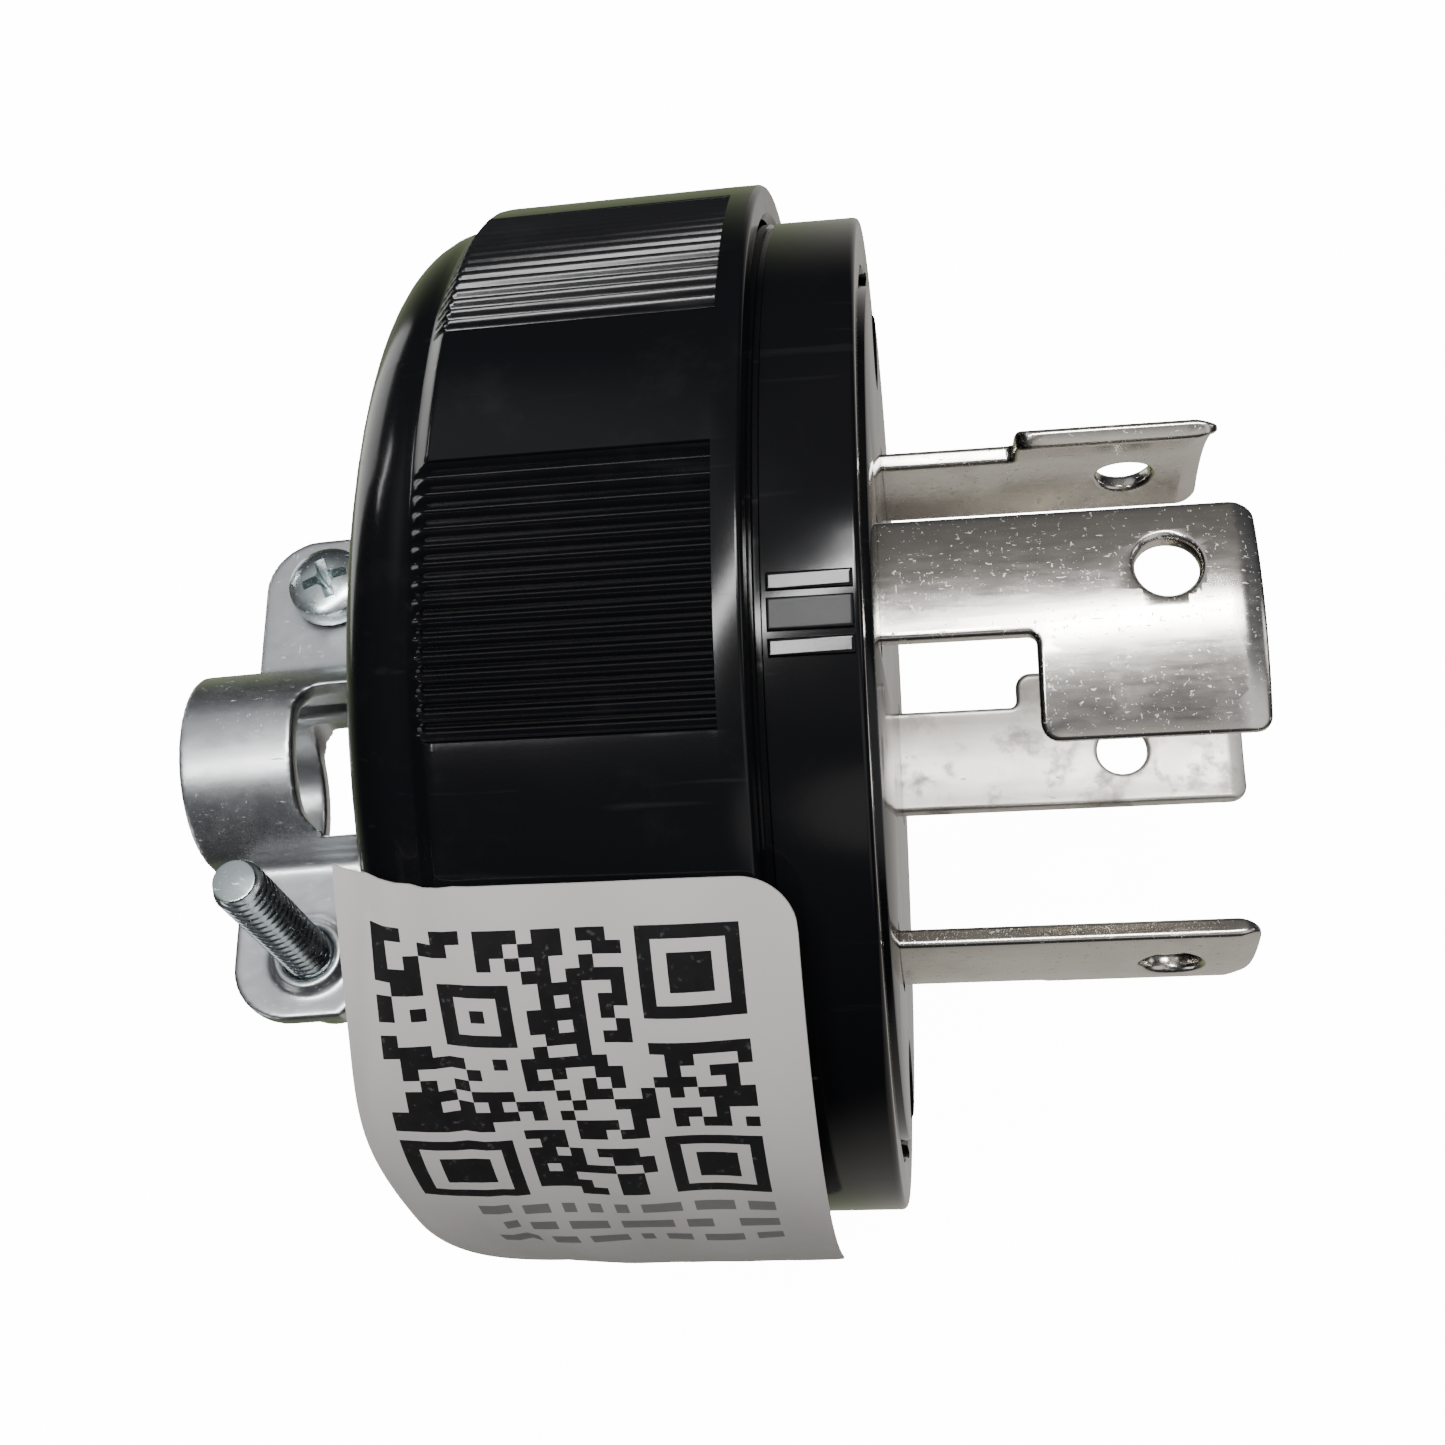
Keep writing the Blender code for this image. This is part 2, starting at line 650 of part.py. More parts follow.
def cord_clamp(parts, cutters, sheet_metal, steel):
    """Two like halves, one turned half a turn about X, and a screw from each side."""
    upper = clamp_shape("cord_clamp_upper", parts, cutters, UPPER_EAR_REACH,
                        UPPER_SLOT_BACK)
    lower = clamp_shape("cord_clamp_lower", parts, cutters, LOWER_EAR_REACH,
                        LOWER_SLOT_BACK)
    lower.rotation_euler.x = math.pi
    pivot = Vector((CLAMP_SCREW_X, 0.0, 0.0))
    shift = Vector((CLAMP_SCREW_X, CLAMP_Y, 0.0))
    turn = Matrix.Rotation(CLAMP_YAW, 3, "Z")
    for half in (upper, lower):
        half.rotation_euler.z = CLAMP_YAW
        half.location = shift - turn @ pivot
        add_material(half, sheet_metal)
        shade(half)
    seat = EAR_FACE + GAP
    mesh = None
    for number, side in ((1, 1), (2, -1)):
        name = f"clamp_screw_{number}"
        if mesh is None:
            item = screw_shape(name, parts, cutters, CLAMP_SHANK, CLAMP_HEAD_R, CLAMP_HEAD,
                               seat + CLAMP_TIP)
            mesh = item.data
        else:
            item = new_object(name, mesh, parts)
        across = turn @ Vector((0.0, side * CLAMP_SCREW_SPACING / 2, side * seat))
        place_along(item, shift + across, (0.0, 0.0, side))
        add_material(item, steel)
        shade(item)


def code_label(parts, material):
    """A thin curved sheet that spans the side of the cap."""
    start, end = LABEL_ANGLES
    count = 12
    radius = COLLAR_R + GAP
    shape = bmesh.new()
    bmesh.ops.create_grid(shape, x_segments=1, y_segments=count, size=0.5)
    for vertex in shape.verts:
        angle = start + (end - start) * (vertex.co.y + 0.5)
        along = LABEL_BACK + (LABEL_FRONT - LABEL_BACK) * (vertex.co.x + 0.5)
        vertex.co = polar(radius, angle, along)
    bmesh.ops.recalc_face_normals(shape, faces=shape.faces)
    mesh = bpy.data.meshes.new("code_label")
    shape.to_mesh(mesh)
    shape.free()
    item = new_object("code_label", mesh, parts)
    thicken = item.modifiers.new("thickness", "SOLIDIFY")
    thicken.thickness = LABEL_THICK
    thicken.offset = 1.0
    bake(item)
    add_material(item, material)
    shade(item)


def build():
    remove_all_objects()
    parts = new_collection("locking_plug")
    cutters = new_collection("cutters")
    black = new_material("black_nylon", (0.012, 0.013, 0.015), 0.32, 0.0)
    insert_black = new_material("insert_nylon", (0.016, 0.016, 0.017), 0.4, 0.0)
    barrier_black = new_material("barrier_nylon", (0.02, 0.02, 0.02), 0.5, 0.0)
    nickel = new_material("nickel_brass", (0.62, 0.60, 0.55), 0.22, 1.0)
    zinc = new_material("zinc_steel", (0.55, 0.57, 0.57), 0.35, 1.0)
    sheet_metal = new_material("clamp_steel", (0.52, 0.53, 0.53), 0.42, 1.0)
    brass = new_material("brass", (0.70, 0.52, 0.22), 0.35, 1.0)
    paper = new_material("label_paper", (0.85, 0.86, 0.85), 0.55, 0.0)
    cap(parts, cutters, black)
    blade_holder(parts, cutters, insert_black)
    blades(parts, cutters, nickel)
    terminal_barrier(parts, cutters, barrier_black)
    terminal_screws(parts, cutters, zinc)
    terminal_plates(parts, cutters, nickel)
    assembly_screws(parts, cutters, zinc, brass)
    cord_clamp(parts, cutters, sheet_metal, zinc)
    code_label(parts, paper)


build()
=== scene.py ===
import math
import random

import bmesh
import bpy
import numpy as np
from mathutils import Matrix, Vector


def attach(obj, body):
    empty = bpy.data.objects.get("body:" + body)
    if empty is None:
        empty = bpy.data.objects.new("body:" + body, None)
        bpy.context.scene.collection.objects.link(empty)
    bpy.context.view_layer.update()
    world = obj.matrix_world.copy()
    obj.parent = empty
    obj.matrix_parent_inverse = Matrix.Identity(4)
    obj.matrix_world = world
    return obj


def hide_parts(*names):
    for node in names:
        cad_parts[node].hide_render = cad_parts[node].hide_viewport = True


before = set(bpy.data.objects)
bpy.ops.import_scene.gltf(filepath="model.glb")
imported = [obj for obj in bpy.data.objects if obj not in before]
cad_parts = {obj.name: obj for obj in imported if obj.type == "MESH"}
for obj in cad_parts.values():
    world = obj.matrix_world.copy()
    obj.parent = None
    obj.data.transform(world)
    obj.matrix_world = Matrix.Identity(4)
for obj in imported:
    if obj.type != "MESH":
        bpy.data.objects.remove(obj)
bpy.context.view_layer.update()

# Looks of a four-pole locking plug. The plug's axis is X, with the blades towards +X, and
# the origin is the centre of the mating face. An angle about the axis is measured from +Z
# towards +Y. Lengths are metres.

MM = 0.001
GAP = 0.3 * MM

# Cap
COLLAR_R = 28.5 * MM
GRIP_R = 28.3 * MM
RING_R = 27.4 * MM
CAP_FRONT = -5.0 * MM
COLLAR_BACK = -6.4 * MM
GRIP_BACK = -18.5 * MM
RING_FRONT = -19.4 * MM
CAP_BACK = -23.1 * MM
REAR_ROUND = 4.17 * MM
REAR_WALL = 2.5 * MM
CAVITY_R = 24.4 * MM
CAVITY_ROUND = 2.0 * MM
GRIP_GROUPS = 9
GROUP_HALF = 12.3  # degrees
GROUP_CENTRE = -14.4  # degrees
RIBS_PER_GROUP = 15
RIB_CREST = 0.06 * MM
RIB_DEPTH = 0.41 * MM
RIB_COLUMNS = 10
ENTRY_HALF_WIDTH = 8.2 * MM
ENTRY_HALF_HEIGHT = 10.8 * MM
ENTRY_CORNER = 4.0 * MM
BOSS_R = 3.4 * MM
NUT_ROOM_R = 2.6 * MM
NUT_ROOM_DEPTH = 5.2 * MM
BOSS_BORE_R = 1.9 * MM

# Insert
INSERT_R = 26.5 * MM
INSERT_BACK = -9.6 * MM
RIM_DROP = 0.3 * MM
DISC_R = 23.0 * MM
RIM_INNER_R = 24.0 * MM
MOAT_DEPTH = 1.1 * MM
KEY_CENTRE = math.radians(-16.9)
SIDE_LIP = 0.45 * MM
SLOT_SPARE_ANGLE = 0.018  # radians
SLOT_END_ROUND = 0.45 * MM
ROOM_R = 2.2 * MM
HEAD_BORE_R = 3.1 * MM
SHANK_BORE_R = 1.75 * MM
CUT_PAST = 1.0 * MM

# Blades
BLADE_R = 14.9 * MM
BLADE_THICK = 1.05 * MM
BLADE_MID = BLADE_R - BLADE_THICK / 2
BLADE_HALF_ANGLE = math.radians(13.0)
HOOK_ANGLE = math.radians(20.1)
EARTH_HOOK_ANGLE = math.radians(8.2)
HOOK_START = 7.3 * MM
BLADE_TIP = 17.9 * MM
EARTH_TIP = 20.9 * MM
BLADE_HOLE_R = 1.52 * MM
BLADE_HOLE_X = 13.6 * MM
BLADE_HOLE_Y = -0.2 * MM
BLADE_ANGLES = [math.radians(a) for a in (0.0, 86.0, 166.8, 269.0)]
EARTH_BLADE = 3
BLADE_EDGE = 0.28 * MM
HOOK_FILLET = 0.4 * MM
HOOK_ROUND = 0.9 * MM
TIP_ROUND = 0.7 * MM
TIP_TAPER = 1.1 * MM
TIP_THINNING = 0.62
HOLE_BEVEL = 0.25 * MM
HOLE_BEVEL_DEPTH = 0.10 * MM
TAB_THICK = 1.0 * MM
TAB_EDGE = 0.12 * MM
TAB_HOLE_R = 1.8 * MM
TAB_BACK = -10.9 * MM
TERMINAL_R = 18.0 * MM
TERMINAL_TIP = -5.5 * MM

# Screws through the insert into the cap
ASSEMBLY_R = 21.3 * MM
ASSEMBLY_ANGLES = [math.radians(a) for a in (245.0, 65.0)]
ASSEMBLY_SEAT = -3.2 * MM
ASSEMBLY_SCREW = (1.45 * MM, 2.8 * MM, 2.0 * MM)  # shank radius, head radius, head
ASSEMBLY_LENGTH = 13.0 * MM
ASSEMBLY_PITCH = 0.5 * MM
THREAD_DEPTH = 0.52  # share of the pitch
THREAD_ROWS = 10  # rows of points in a turn
SCREW_COLUMNS = 40

# Cord clamp
SHEET = 1.1 * MM
EAR_FACE = 1.7 * MM
CLAMP_Y = -2.4 * MM
CLAMP_YAW = math.radians(2.4)
CLAMP_SCREW_X = -31.7 * MM
CLAMP_SCREW_SPACING = 22.2 * MM
TAPPED_EAR_REACH = 14.45 * MM
UPPER_EAR_REACH = 15.0 * MM
LOWER_EAR_REACH = 13.4 * MM
EAR_FRONT = -29.0 * MM
EAR_BACK = -35.95 * MM
EAR_ROUND = 3.2 * MM
ARCH_R = 5.5 * MM
ARCH_BACK = -37.8 * MM
ARCH_FRONT = -19.05 * MM
UPPER_SLOT_BACK = -31.6 * MM
LOWER_SLOT_BACK = -34.2 * MM
SLOT_FRONT = -26.4 * MM
SLOT_WIDTH = 7.6 * MM
SLOT_Y = -1.25 * MM
SLOT_CORNER = 1.4 * MM
CLAMP_TIP = 12.9 * MM
CLAMP_SCREW = (1.32 * MM, 2.3 * MM, 1.8 * MM)  # shank radius, head radius, head
CLAMP_PITCH = 0.6 * MM
TAPPED_HOLE_R = 1.45 * MM
PLAIN_HOLE_R = 1.7 * MM
ARCH_FILLET = 1.0 * MM
CLAMP_TAB_HALF = 2.5 * MM
CLAMP_TAB_TOP = 11.8 * MM
VOXEL = 0.16 * MM

# Sticker
LABEL_R = COLLAR_R + GAP
LABEL_FRONT = -3.5 * MM
LABEL_BACK = -22.6 * MM
LABEL_TOP = -38.8  # degrees
LABEL_BOTTOM = -101.0  # degrees
CODE_CELLS = 25
CODE_CELL = 0.617 * MM
CODE_FRONT = -5.9 * MM
CODE_TOP = -42.6  # degrees
BAR_DROPS = (1.5, 5.2, 8.9)  # degrees below the code
BAR_HEIGHT = 2.4  # degrees
LABEL_THICK = 0.12 * MM
LABEL_ROUND = 2.4 * MM
LABEL_FREE = -18.4 * MM  # where the sheet leaves the cap
LABEL_FREE_LENGTH = 4.2 * MM
# Each fold: its middle in mm along X, its slant in mm per degree and its depth in mm.
LABEL_FOLDS = ((-21.2, 0.045, 0.30), (-19.5, -0.03, 0.22), (-17.6, 0.06, 0.12))
MARGIN_STEPS = 8
REAR_STEPS = 4
LOWER_STEPS = 30

# Camera and light
CAMERA_PITCH = 0.28  # degrees
CAMERA_YAW = -6.63  # degrees
CAMERA_ROLL = 2.85  # degrees
CAMERA_LEAN = 26.3  # degrees
CAMERA_PLACE = (2.815 * MM, 0.0, 101.8 * MM)
CAMERA_SHIFT = (-0.0061, 0.0055)
CAMERA_LENS = 45.79
LIGHT_DISTANCE = 1.2
# Each light: name, angle and side in degrees, size, power and spin in degrees.
LIGHTS = (
    ("tube", -5.0, -5.0, (0.075, 1.1), 14.0, 45.0),
    ("window", 7.5, 13.0, (0.25, 0.42), 5.0, 0.0),
    ("lamp", 60.0, -53.0, (0.035, 0.25), 0.5, 0.0),
    ("rear_low", -110.0, -48.0, (0.7, 0.5), 1.8, 0.0),
    ("rear_high", 115.0, -48.0, (0.7, 0.5), 1.8, 0.0),
    ("front", 12.0, 66.0, (0.3, 0.35), 0.7, 0.0))
# Each bright patch of the room: angle, side, outer and inner radius in degrees, colour.
PATCHES = (
    (27.0, -24.0, 28.0, 10.0, (0.54, 0.555, 0.57)),
    (40.0, 12.0, 26.0, 8.0, (0.17, 0.165, 0.16)),
    (-15.0, 8.0, 18.0, 4.0, (0.20, 0.20, 0.20)),
    (-46.0, 6.0, 11.0, 5.0, (0.90, 0.88, 0.85)),
    (-22.0, 24.0, 15.0, 7.0, (0.80, 0.82, 0.84)),
    (-43.0, 37.0, 27.0, 12.0, (0.90, 0.92, 0.94)),
    (-148.0, 28.0, 42.0, 22.0, (0.55, 0.53, 0.50)))
ROOM_LOW = (0.016, 0.017, 0.021)
ROOM_HIGH = (0.095, 0.099, 0.112)
GROUND_OLIVE = (0.27, 0.31, 0.19)
GROUND_PALE = (0.55, 0.53, 0.50)
DOWNWARD = (0.0, 0.443, -0.896)  # away from the camera
FLOOR_SIZE = 3.0
FLOOR_HEIGHT = -28.9 * MM
BACKDROP_R = 2.0
STAGE_GLOW = 14.0


# ---- meshes

def polar(radius, angle, x=0.0):
    return Vector((x, radius * math.sin(angle), radius * math.cos(angle)))


def arc(centre, radius, start, end, count):
    """Points on an arc between two angles in degrees."""
    points = []
    for i in range(count + 1):
        angle = math.radians(start + (end - start) * i / count)
        points.append((centre[0] + radius * math.cos(angle),
                       centre[1] + radius * math.sin(angle)))
    return points


def circle(centre, radius, count, way=1):
    """Points round a circle, the other way round where way is -1."""
    return [(centre[0] + radius * math.cos(math.tau * i / count),
             centre[1] + way * radius * math.sin(math.tau * i / count))
            for i in range(count)]


def rounded_rectangle(half_u, half_v, corner, count=8):
    outline = []
    for quarter, (side_u, side_v) in enumerate(((1, 1), (-1, 1), (-1, -1), (1, -1))):
        centre = (side_u * (half_u - corner), side_v * (half_v - corner))
        outline += arc(centre, corner, 90 * quarter, 90 * quarter + 90, count)
    return outline


def new_object(name, mesh):
    item = bpy.data.objects.new(name, mesh)
    bpy.context.scene.collection.objects.link(item)
    return item


def shade(item, angle=30.0):
    item.data.shade_smooth()
    item.data.set_sharp_from_angle(angle=math.radians(angle))
    return item


def turn_out(mesh, weld=0.0):
    """Join points closer than a distance, and turn every face's normal outwards."""
    shape = bmesh.new()
    shape.from_mesh(mesh)
    if weld:
        bmesh.ops.remove_doubles(shape, verts=shape.verts, dist=weld)
    bmesh.ops.recalc_face_normals(shape, faces=shape.faces)
    shape.to_mesh(mesh)
    shape.free()


def bake(item):
    """Keep what the modifiers make, and drop them."""
    bpy.context.view_layer.update()
    evaluated = item.evaluated_get(bpy.context.evaluated_depsgraph_get())
    mesh = bpy.data.meshes.new_from_object(evaluated)
    item.modifiers.clear()
    item.data = mesh
    return item


def drop(items):
    for item in items:
        bpy.data.objects.remove(item, do_unlink=True)


def grid_object(name, rows, wrap_rows=False, cap_ends=False):
    """Quads between rows of points. Every row is a closed loop of the same length."""
    points = np.concatenate([np.asarray(row, dtype=float) for row in rows])
    columns = len(rows[0])
    count = len(rows)
    faces = []
    for i in range(count if wrap_rows else count - 1):
        j = (i + 1) % count
        for k in range(columns):
            m = (k + 1) % columns
            faces.append((i * columns + k, i * columns + m, j * columns + m, j * columns + k))
    if cap_ends:
        faces.append(tuple(reversed(range(columns))))
        faces.append(tuple(range((count - 1) * columns, count * columns)))
    mesh = bpy.data.meshes.new(name)
    mesh.from_pydata([tuple(p) for p in points], [], faces)
    turn_out(mesh)
    return new_object(name, mesh)


def turned(name, profile, steps, wrap=False):
    """A profile of (x, radius) points turned round X, closed at both ends."""
    angles = np.linspace(0.0, math.tau, steps, endpoint=False)
    rows = []
    for x, radius in profile:
        rows.append(np.stack([np.full(steps, x), radius * np.sin(angles),
                              radius * np.cos(angles)], axis=1))
    return grid_object(name, rows, wrap_rows=wrap, cap_ends=not wrap)


def loft(name, sections):
    """A closed solid through outlines; each is (height, [(u, v), ...]), rising along Z."""
    rows = [[(u, v, height) for u, v in outline] for height, outline in sections]
    return grid_object(name, rows, cap_ends=True)


def boolean(item, operation, others):
    for other in others:
        step = item.modifiers.new(operation.lower(), "BOOLEAN")
        step.operation = operation
        step.solver = "EXACT"
        step.object = other
    bake(item)
    drop(others)
    return item


def plate(name, loops, thickness, edge):
    """A flat plate with rounded edges. The first loop is its outline, the rest are holes."""
    curve = bpy.data.curves.new(name, "CURVE")
    curve.dimensions = "2D"
    curve.fill_mode = "BOTH"
    curve.extrude = thickness / 2 - edge
    curve.bevel_depth = edge
    curve.bevel_resolution = 3
    curve.offset = -edge
    for loop in loops:
        spline = curve.splines.new("POLY")
        spline.points.add(len(loop) - 1)
        for point, (u, v) in zip(spline.points, loop):
            point.co = (u, v, 0.0, 1.0)
        spline.use_cyclic_u = True
    guide = new_object(name + "_outline", curve)
    bpy.context.view_layer.update()
    evaluated = guide.evaluated_get(bpy.context.evaluated_depsgraph_get())
    mesh = bpy.data.meshes.new_from_object(evaluated)
    drop([guide])
    turn_out(mesh, weld=0.002 * MM)
    return new_object(name, mesh)


def dress(item, material):
    """Give the item one material in place of all it has."""
    item.data.materials.clear()
    item.data.materials.append(material)


def finish_piece(item, body, material, slot, *nodes):
    if material is not None:
        dress(item, material)
    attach(item, body)
    if nodes:
        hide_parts(*nodes)


# ---- materials

class Look:
    """A material, with short ways to add nodes that read the object's own coordinates."""

    def __init__(self, name):
        self.material = bpy.data.materials.new(name)
        self.material.use_nodes = True
        self.tree = self.material.node_tree
        self.shader = self.tree.nodes["Principled BSDF"]
        self.coordinates = self.tree.nodes.new("ShaderNodeTexCoord").outputs["Object"]
        self.height = None

    def feed(self, socket, value):
        if isinstance(value, bpy.types.NodeSocket):
            self.tree.links.new(value, socket)
        else:
            socket.default_value = value

    def node(self, kind, **inputs):
        """A new node with its inputs set or linked; an underscore stands for a space."""
        node = self.tree.nodes.new("ShaderNode" + kind)
        for name, value in inputs.items():
            self.feed(node.inputs[name.replace("_", " ")], value)
        return node

    def stretch(self, scale, turn=(0.0, 0.0, 0.0)):
        node = self.node("Mapping", Vector=self.coordinates, Scale=scale, Rotation=turn)
        return node.outputs["Vector"]

    def noise(self, scale, detail=3.0, roughness=0.5, vector=None, distortion=0.0):
        node = self.node("TexNoise", Vector=vector or self.coordinates, Scale=scale,
                         Detail=detail, Roughness=roughness, Distortion=distortion)
        return node.outputs["Fac"]

    def cells(self, scale):
        node = self.node("TexVoronoi", Vector=self.coordinates, Scale=scale)
        return node.outputs["Distance"], node.outputs["Color"]

    def remap(self, value, low, high, to_low=0.0, to_high=1.0):
        node = self.node("MapRange", Value=value, From_Min=low, From_Max=high,
                         To_Min=to_low, To_Max=to_high)
        return node.outputs["Result"]

    def sums(self, operation, first, second):
        node = self.tree.nodes.new("ShaderNodeMath")
        node.operation = operation
        self.feed(node.inputs[0], first)
        self.feed(node.inputs[1], second)
        return node.outputs["Value"]

    def mix(self, factor, first, second):
        node = self.tree.nodes.new("ShaderNodeMix")
        node.data_type = "RGBA"
        self.feed(node.inputs["Factor"], factor)
        for socket, value in (("A", first), ("B", second)):
            if isinstance(value, tuple):
                value = (*value, 1.0)
            self.feed([s for s in node.inputs if s.name == socket and s.type == "RGBA"][0],
                      value)
        return [s for s in node.outputs if s.type == "RGBA"][0]

    def tint(self, colour, mask, strength, over):
        """The colour with another laid over it where the mask is, at a strength."""
        return self.mix(self.sums("MULTIPLY", mask, strength), colour, over)

    def add(self, value, mask, strength):
        return self.sums("ADD", value, self.sums("MULTIPLY", mask, strength))

    def raise_by(self, value, strength, distance):
        node = self.node("Bump", Strength=strength, Distance=distance, Height=value)
        if self.height is not None:
            self.feed(node.inputs["Normal"], self.height)
        self.height = node.outputs["Normal"]
        self.feed(self.shader.inputs["Normal"], self.height)

    def set(self, socket, value):
        if isinstance(value, tuple):
            value = (*value, 1.0)
        self.feed(self.shader.inputs[socket], value)


def specks(look, scale, size, share):
    """Sparse round soft spots: only a share of the cells carries one."""
    distance, colour = look.cells(scale)
    near = look.remap(distance, size, size * 0.35)
    chosen = look.remap(colour, 1.0 - share, 1.0 - share + 0.02)
    return look.sums("MULTIPLY", near, chosen)


def streaks(look, scale, turn, low, high):
    """Long thin scratches along one direction."""
    return look.remap(look.noise(1.0, 2.0, 0.5, look.stretch(scale, turn)), low, high)


def black_plastic(name, base, gloss, dust):
    """Moulded black nylon with faint marks, lint and powder."""
    look = Look(name)
    patches = look.noise(70.0, 4.0, 0.6)
    fine = look.noise(2600.0, 3.0, 0.6)
    marks = streaks(look, (90.0, 1500.0, 1500.0), (0.4, 0.2, 0.5), 0.66, 0.74)
    lint = specks(look, 190.0, 0.075, 0.14)
    powder = specks(look, 1400.0, 0.22, 0.05)
    grime = look.remap(look.noise(240.0, 5.0, 0.65), 0.55, 0.8)
    colour = look.tint(base, grime, 0.10 * dust, (0.055, 0.054, 0.052))
    colour = look.tint(colour, marks, 0.04, (0.10, 0.10, 0.10))
    colour = look.tint(colour, powder, 0.35 * dust, (0.22, 0.21, 0.2))
    colour = look.tint(colour, lint, 0.55 * dust, (0.24, 0.24, 0.24))
    look.set("Base Color", colour)
    rough = look.remap(patches, 0.3, 0.7, gloss - 0.02, gloss + 0.04)
    rough = look.add(rough, marks, 0.10)
    rough = look.add(rough, lint, 0.3)
    look.set("Roughness", rough)
    look.set("IOR", 1.35)
    look.raise_by(look.noise(420.0, 2.0, 0.4), 0.08, 0.00004)
    look.raise_by(fine, 0.05, 0.00002)
    look.raise_by(marks, 0.03, 0.00001)
    return look.material


def worn_metal(name, bright, dull, rough, brush, tarnish, speckle, grain=0.12):
    """Plated metal: brushed along one axis, with fine scratches, speckle and tarnish."""
    look = Look(name)
    brushed = look.noise(1.0, 4.0, 0.6, look.stretch(brush))
    cloud = look.noise(130.0, 4.0, 0.55, distortion=0.4)
    scratches = look.sums(
        "MAXIMUM",
        streaks(look, (1500.0, 6200.0, 6200.0), (0.3, 0.5, 0.7), 0.70, 0.74),
        streaks(look, (6200.0, 1700.0, 6200.0), (0.6, 0.1, -0.5), 0.71, 0.75))
    flecks = look.remap(look.noise(4200.0, 2.0, 0.6, distortion=0.8),
                        0.70 - 0.12 * speckle, 0.76 - 0.12 * speckle)
    dots = look.sums("MAXIMUM", specks(look, 2600.0, 0.16, 0.5 * speckle), flecks)
    dark = look.remap(look.noise(310.0, 5.0, 0.65), 0.52, 0.78)
    colour = look.mix(look.remap(cloud, 0.35, 0.7), bright, dull)
    colour = look.tint(colour, dark, tarnish, (0.16, 0.14, 0.12))
    colour = look.tint(colour, scratches, 0.5, (0.9, 0.9, 0.88))
    colour = look.tint(colour, dots, 0.6, (0.92, 0.92, 0.9))
    look.set("Base Color", colour)
    look.set("Metallic", 1.0)
    spread = look.remap(brushed, 0.3, 0.7, rough - 0.03, rough + 0.04)
    spread = look.add(spread, dots, 0.40)
    spread = look.add(spread, scratches, 0.40)
    spread = look.add(spread, dark, 0.5 * tarnish)
    look.set("Roughness", spread)
    look.raise_by(brushed, grain, 0.00003)
    look.raise_by(look.noise(3600.0, 3.0, 0.6), 0.6 * grain, 0.00002)
    look.raise_by(scratches, 0.12, 0.00001)
    return look.material


def paper_look(name, tone, ink):
    """Paper with smudges and flecks, or print with worn spots."""
    look = Look(name)
    fibre = look.noise(1500.0, 4.0, 0.6)
    smudge = look.remap(look.noise(160.0, 4.0, 0.6), 0.5, 0.75)
    if ink:
        worn = look.remap(look.noise(2600.0, 3.0, 0.6), 0.62, 0.78)
        colour = look.tint(tone, worn, 0.3, (0.30, 0.29, 0.29))
    else:
        colour = look.tint(tone, smudge, 0.4, (0.58, 0.56, 0.55))
        fleck = specks(look, 900.0, 0.14, 0.04)
        colour = look.tint(colour, fleck, 0.5, (0.3, 0.28, 0.26))
    look.set("Base Color", colour)
    look.set("Roughness", look.remap(fibre, 0.3, 0.7, 0.42, 0.6))
    look.set("IOR", 1.36)
    look.raise_by(look.noise(190.0, 2.0, 0.5), 0.25, 0.0001)
    look.raise_by(fibre, 0.10, 0.00002)
    return look.material


CAP_BLACK = black_plastic("cap_nylon", (0.0042, 0.0044, 0.0052), 0.14, 1.0)
INSERT_BLACK = black_plastic("insert_nylon", (0.0045, 0.0046, 0.0054), 0.12, 0.6)
KEY_BLACK = black_plastic("key_nylon", (0.007, 0.0072, 0.008), 0.33, 1.0)
BARRIER_BLACK = black_plastic("barrier_nylon", (0.02, 0.02, 0.02), 0.45, 0.5)
NICKEL = worn_metal("nickel_plate", (0.75, 0.715, 0.66), (0.63, 0.595, 0.54), 0.20,
                    (500.0, 2600.0, 2600.0), 0.22, 0.34, 0.05)
DULL_NICKEL = worn_metal("dull_nickel", (0.88, 0.85, 0.80), (0.66, 0.62, 0.56), 0.42,
                         (500.0, 1500.0, 1500.0), 0.65, 0.15, 0.12)
ZINC = worn_metal("zinc_screw", (0.72, 0.78, 0.78), (0.50, 0.58, 0.60), 0.24,
                  (900.0, 900.0, 900.0), 0.45, 0.15, 0.10)
CLAMP_STEEL = worn_metal("clamp_steel", (0.66, 0.67, 0.68), (0.58, 0.59, 0.60), 0.34,
                         (900.0, 1200.0, 1200.0), 0.15, 0.10, 0.08)
BRASS = worn_metal("brass", (0.72, 0.52, 0.24), (0.55, 0.38, 0.16), 0.35,
                   (1200.0, 1200.0, 1200.0), 0.4, 0.05)
PAPER = paper_look("label_paper", (0.60, 0.572, 0.557), False)
INK = paper_look("label_ink", (0.010, 0.009, 0.010), True)
GREY_INK = paper_look("label_grey_ink", (0.20, 0.195, 0.195), True)


# ---- cap

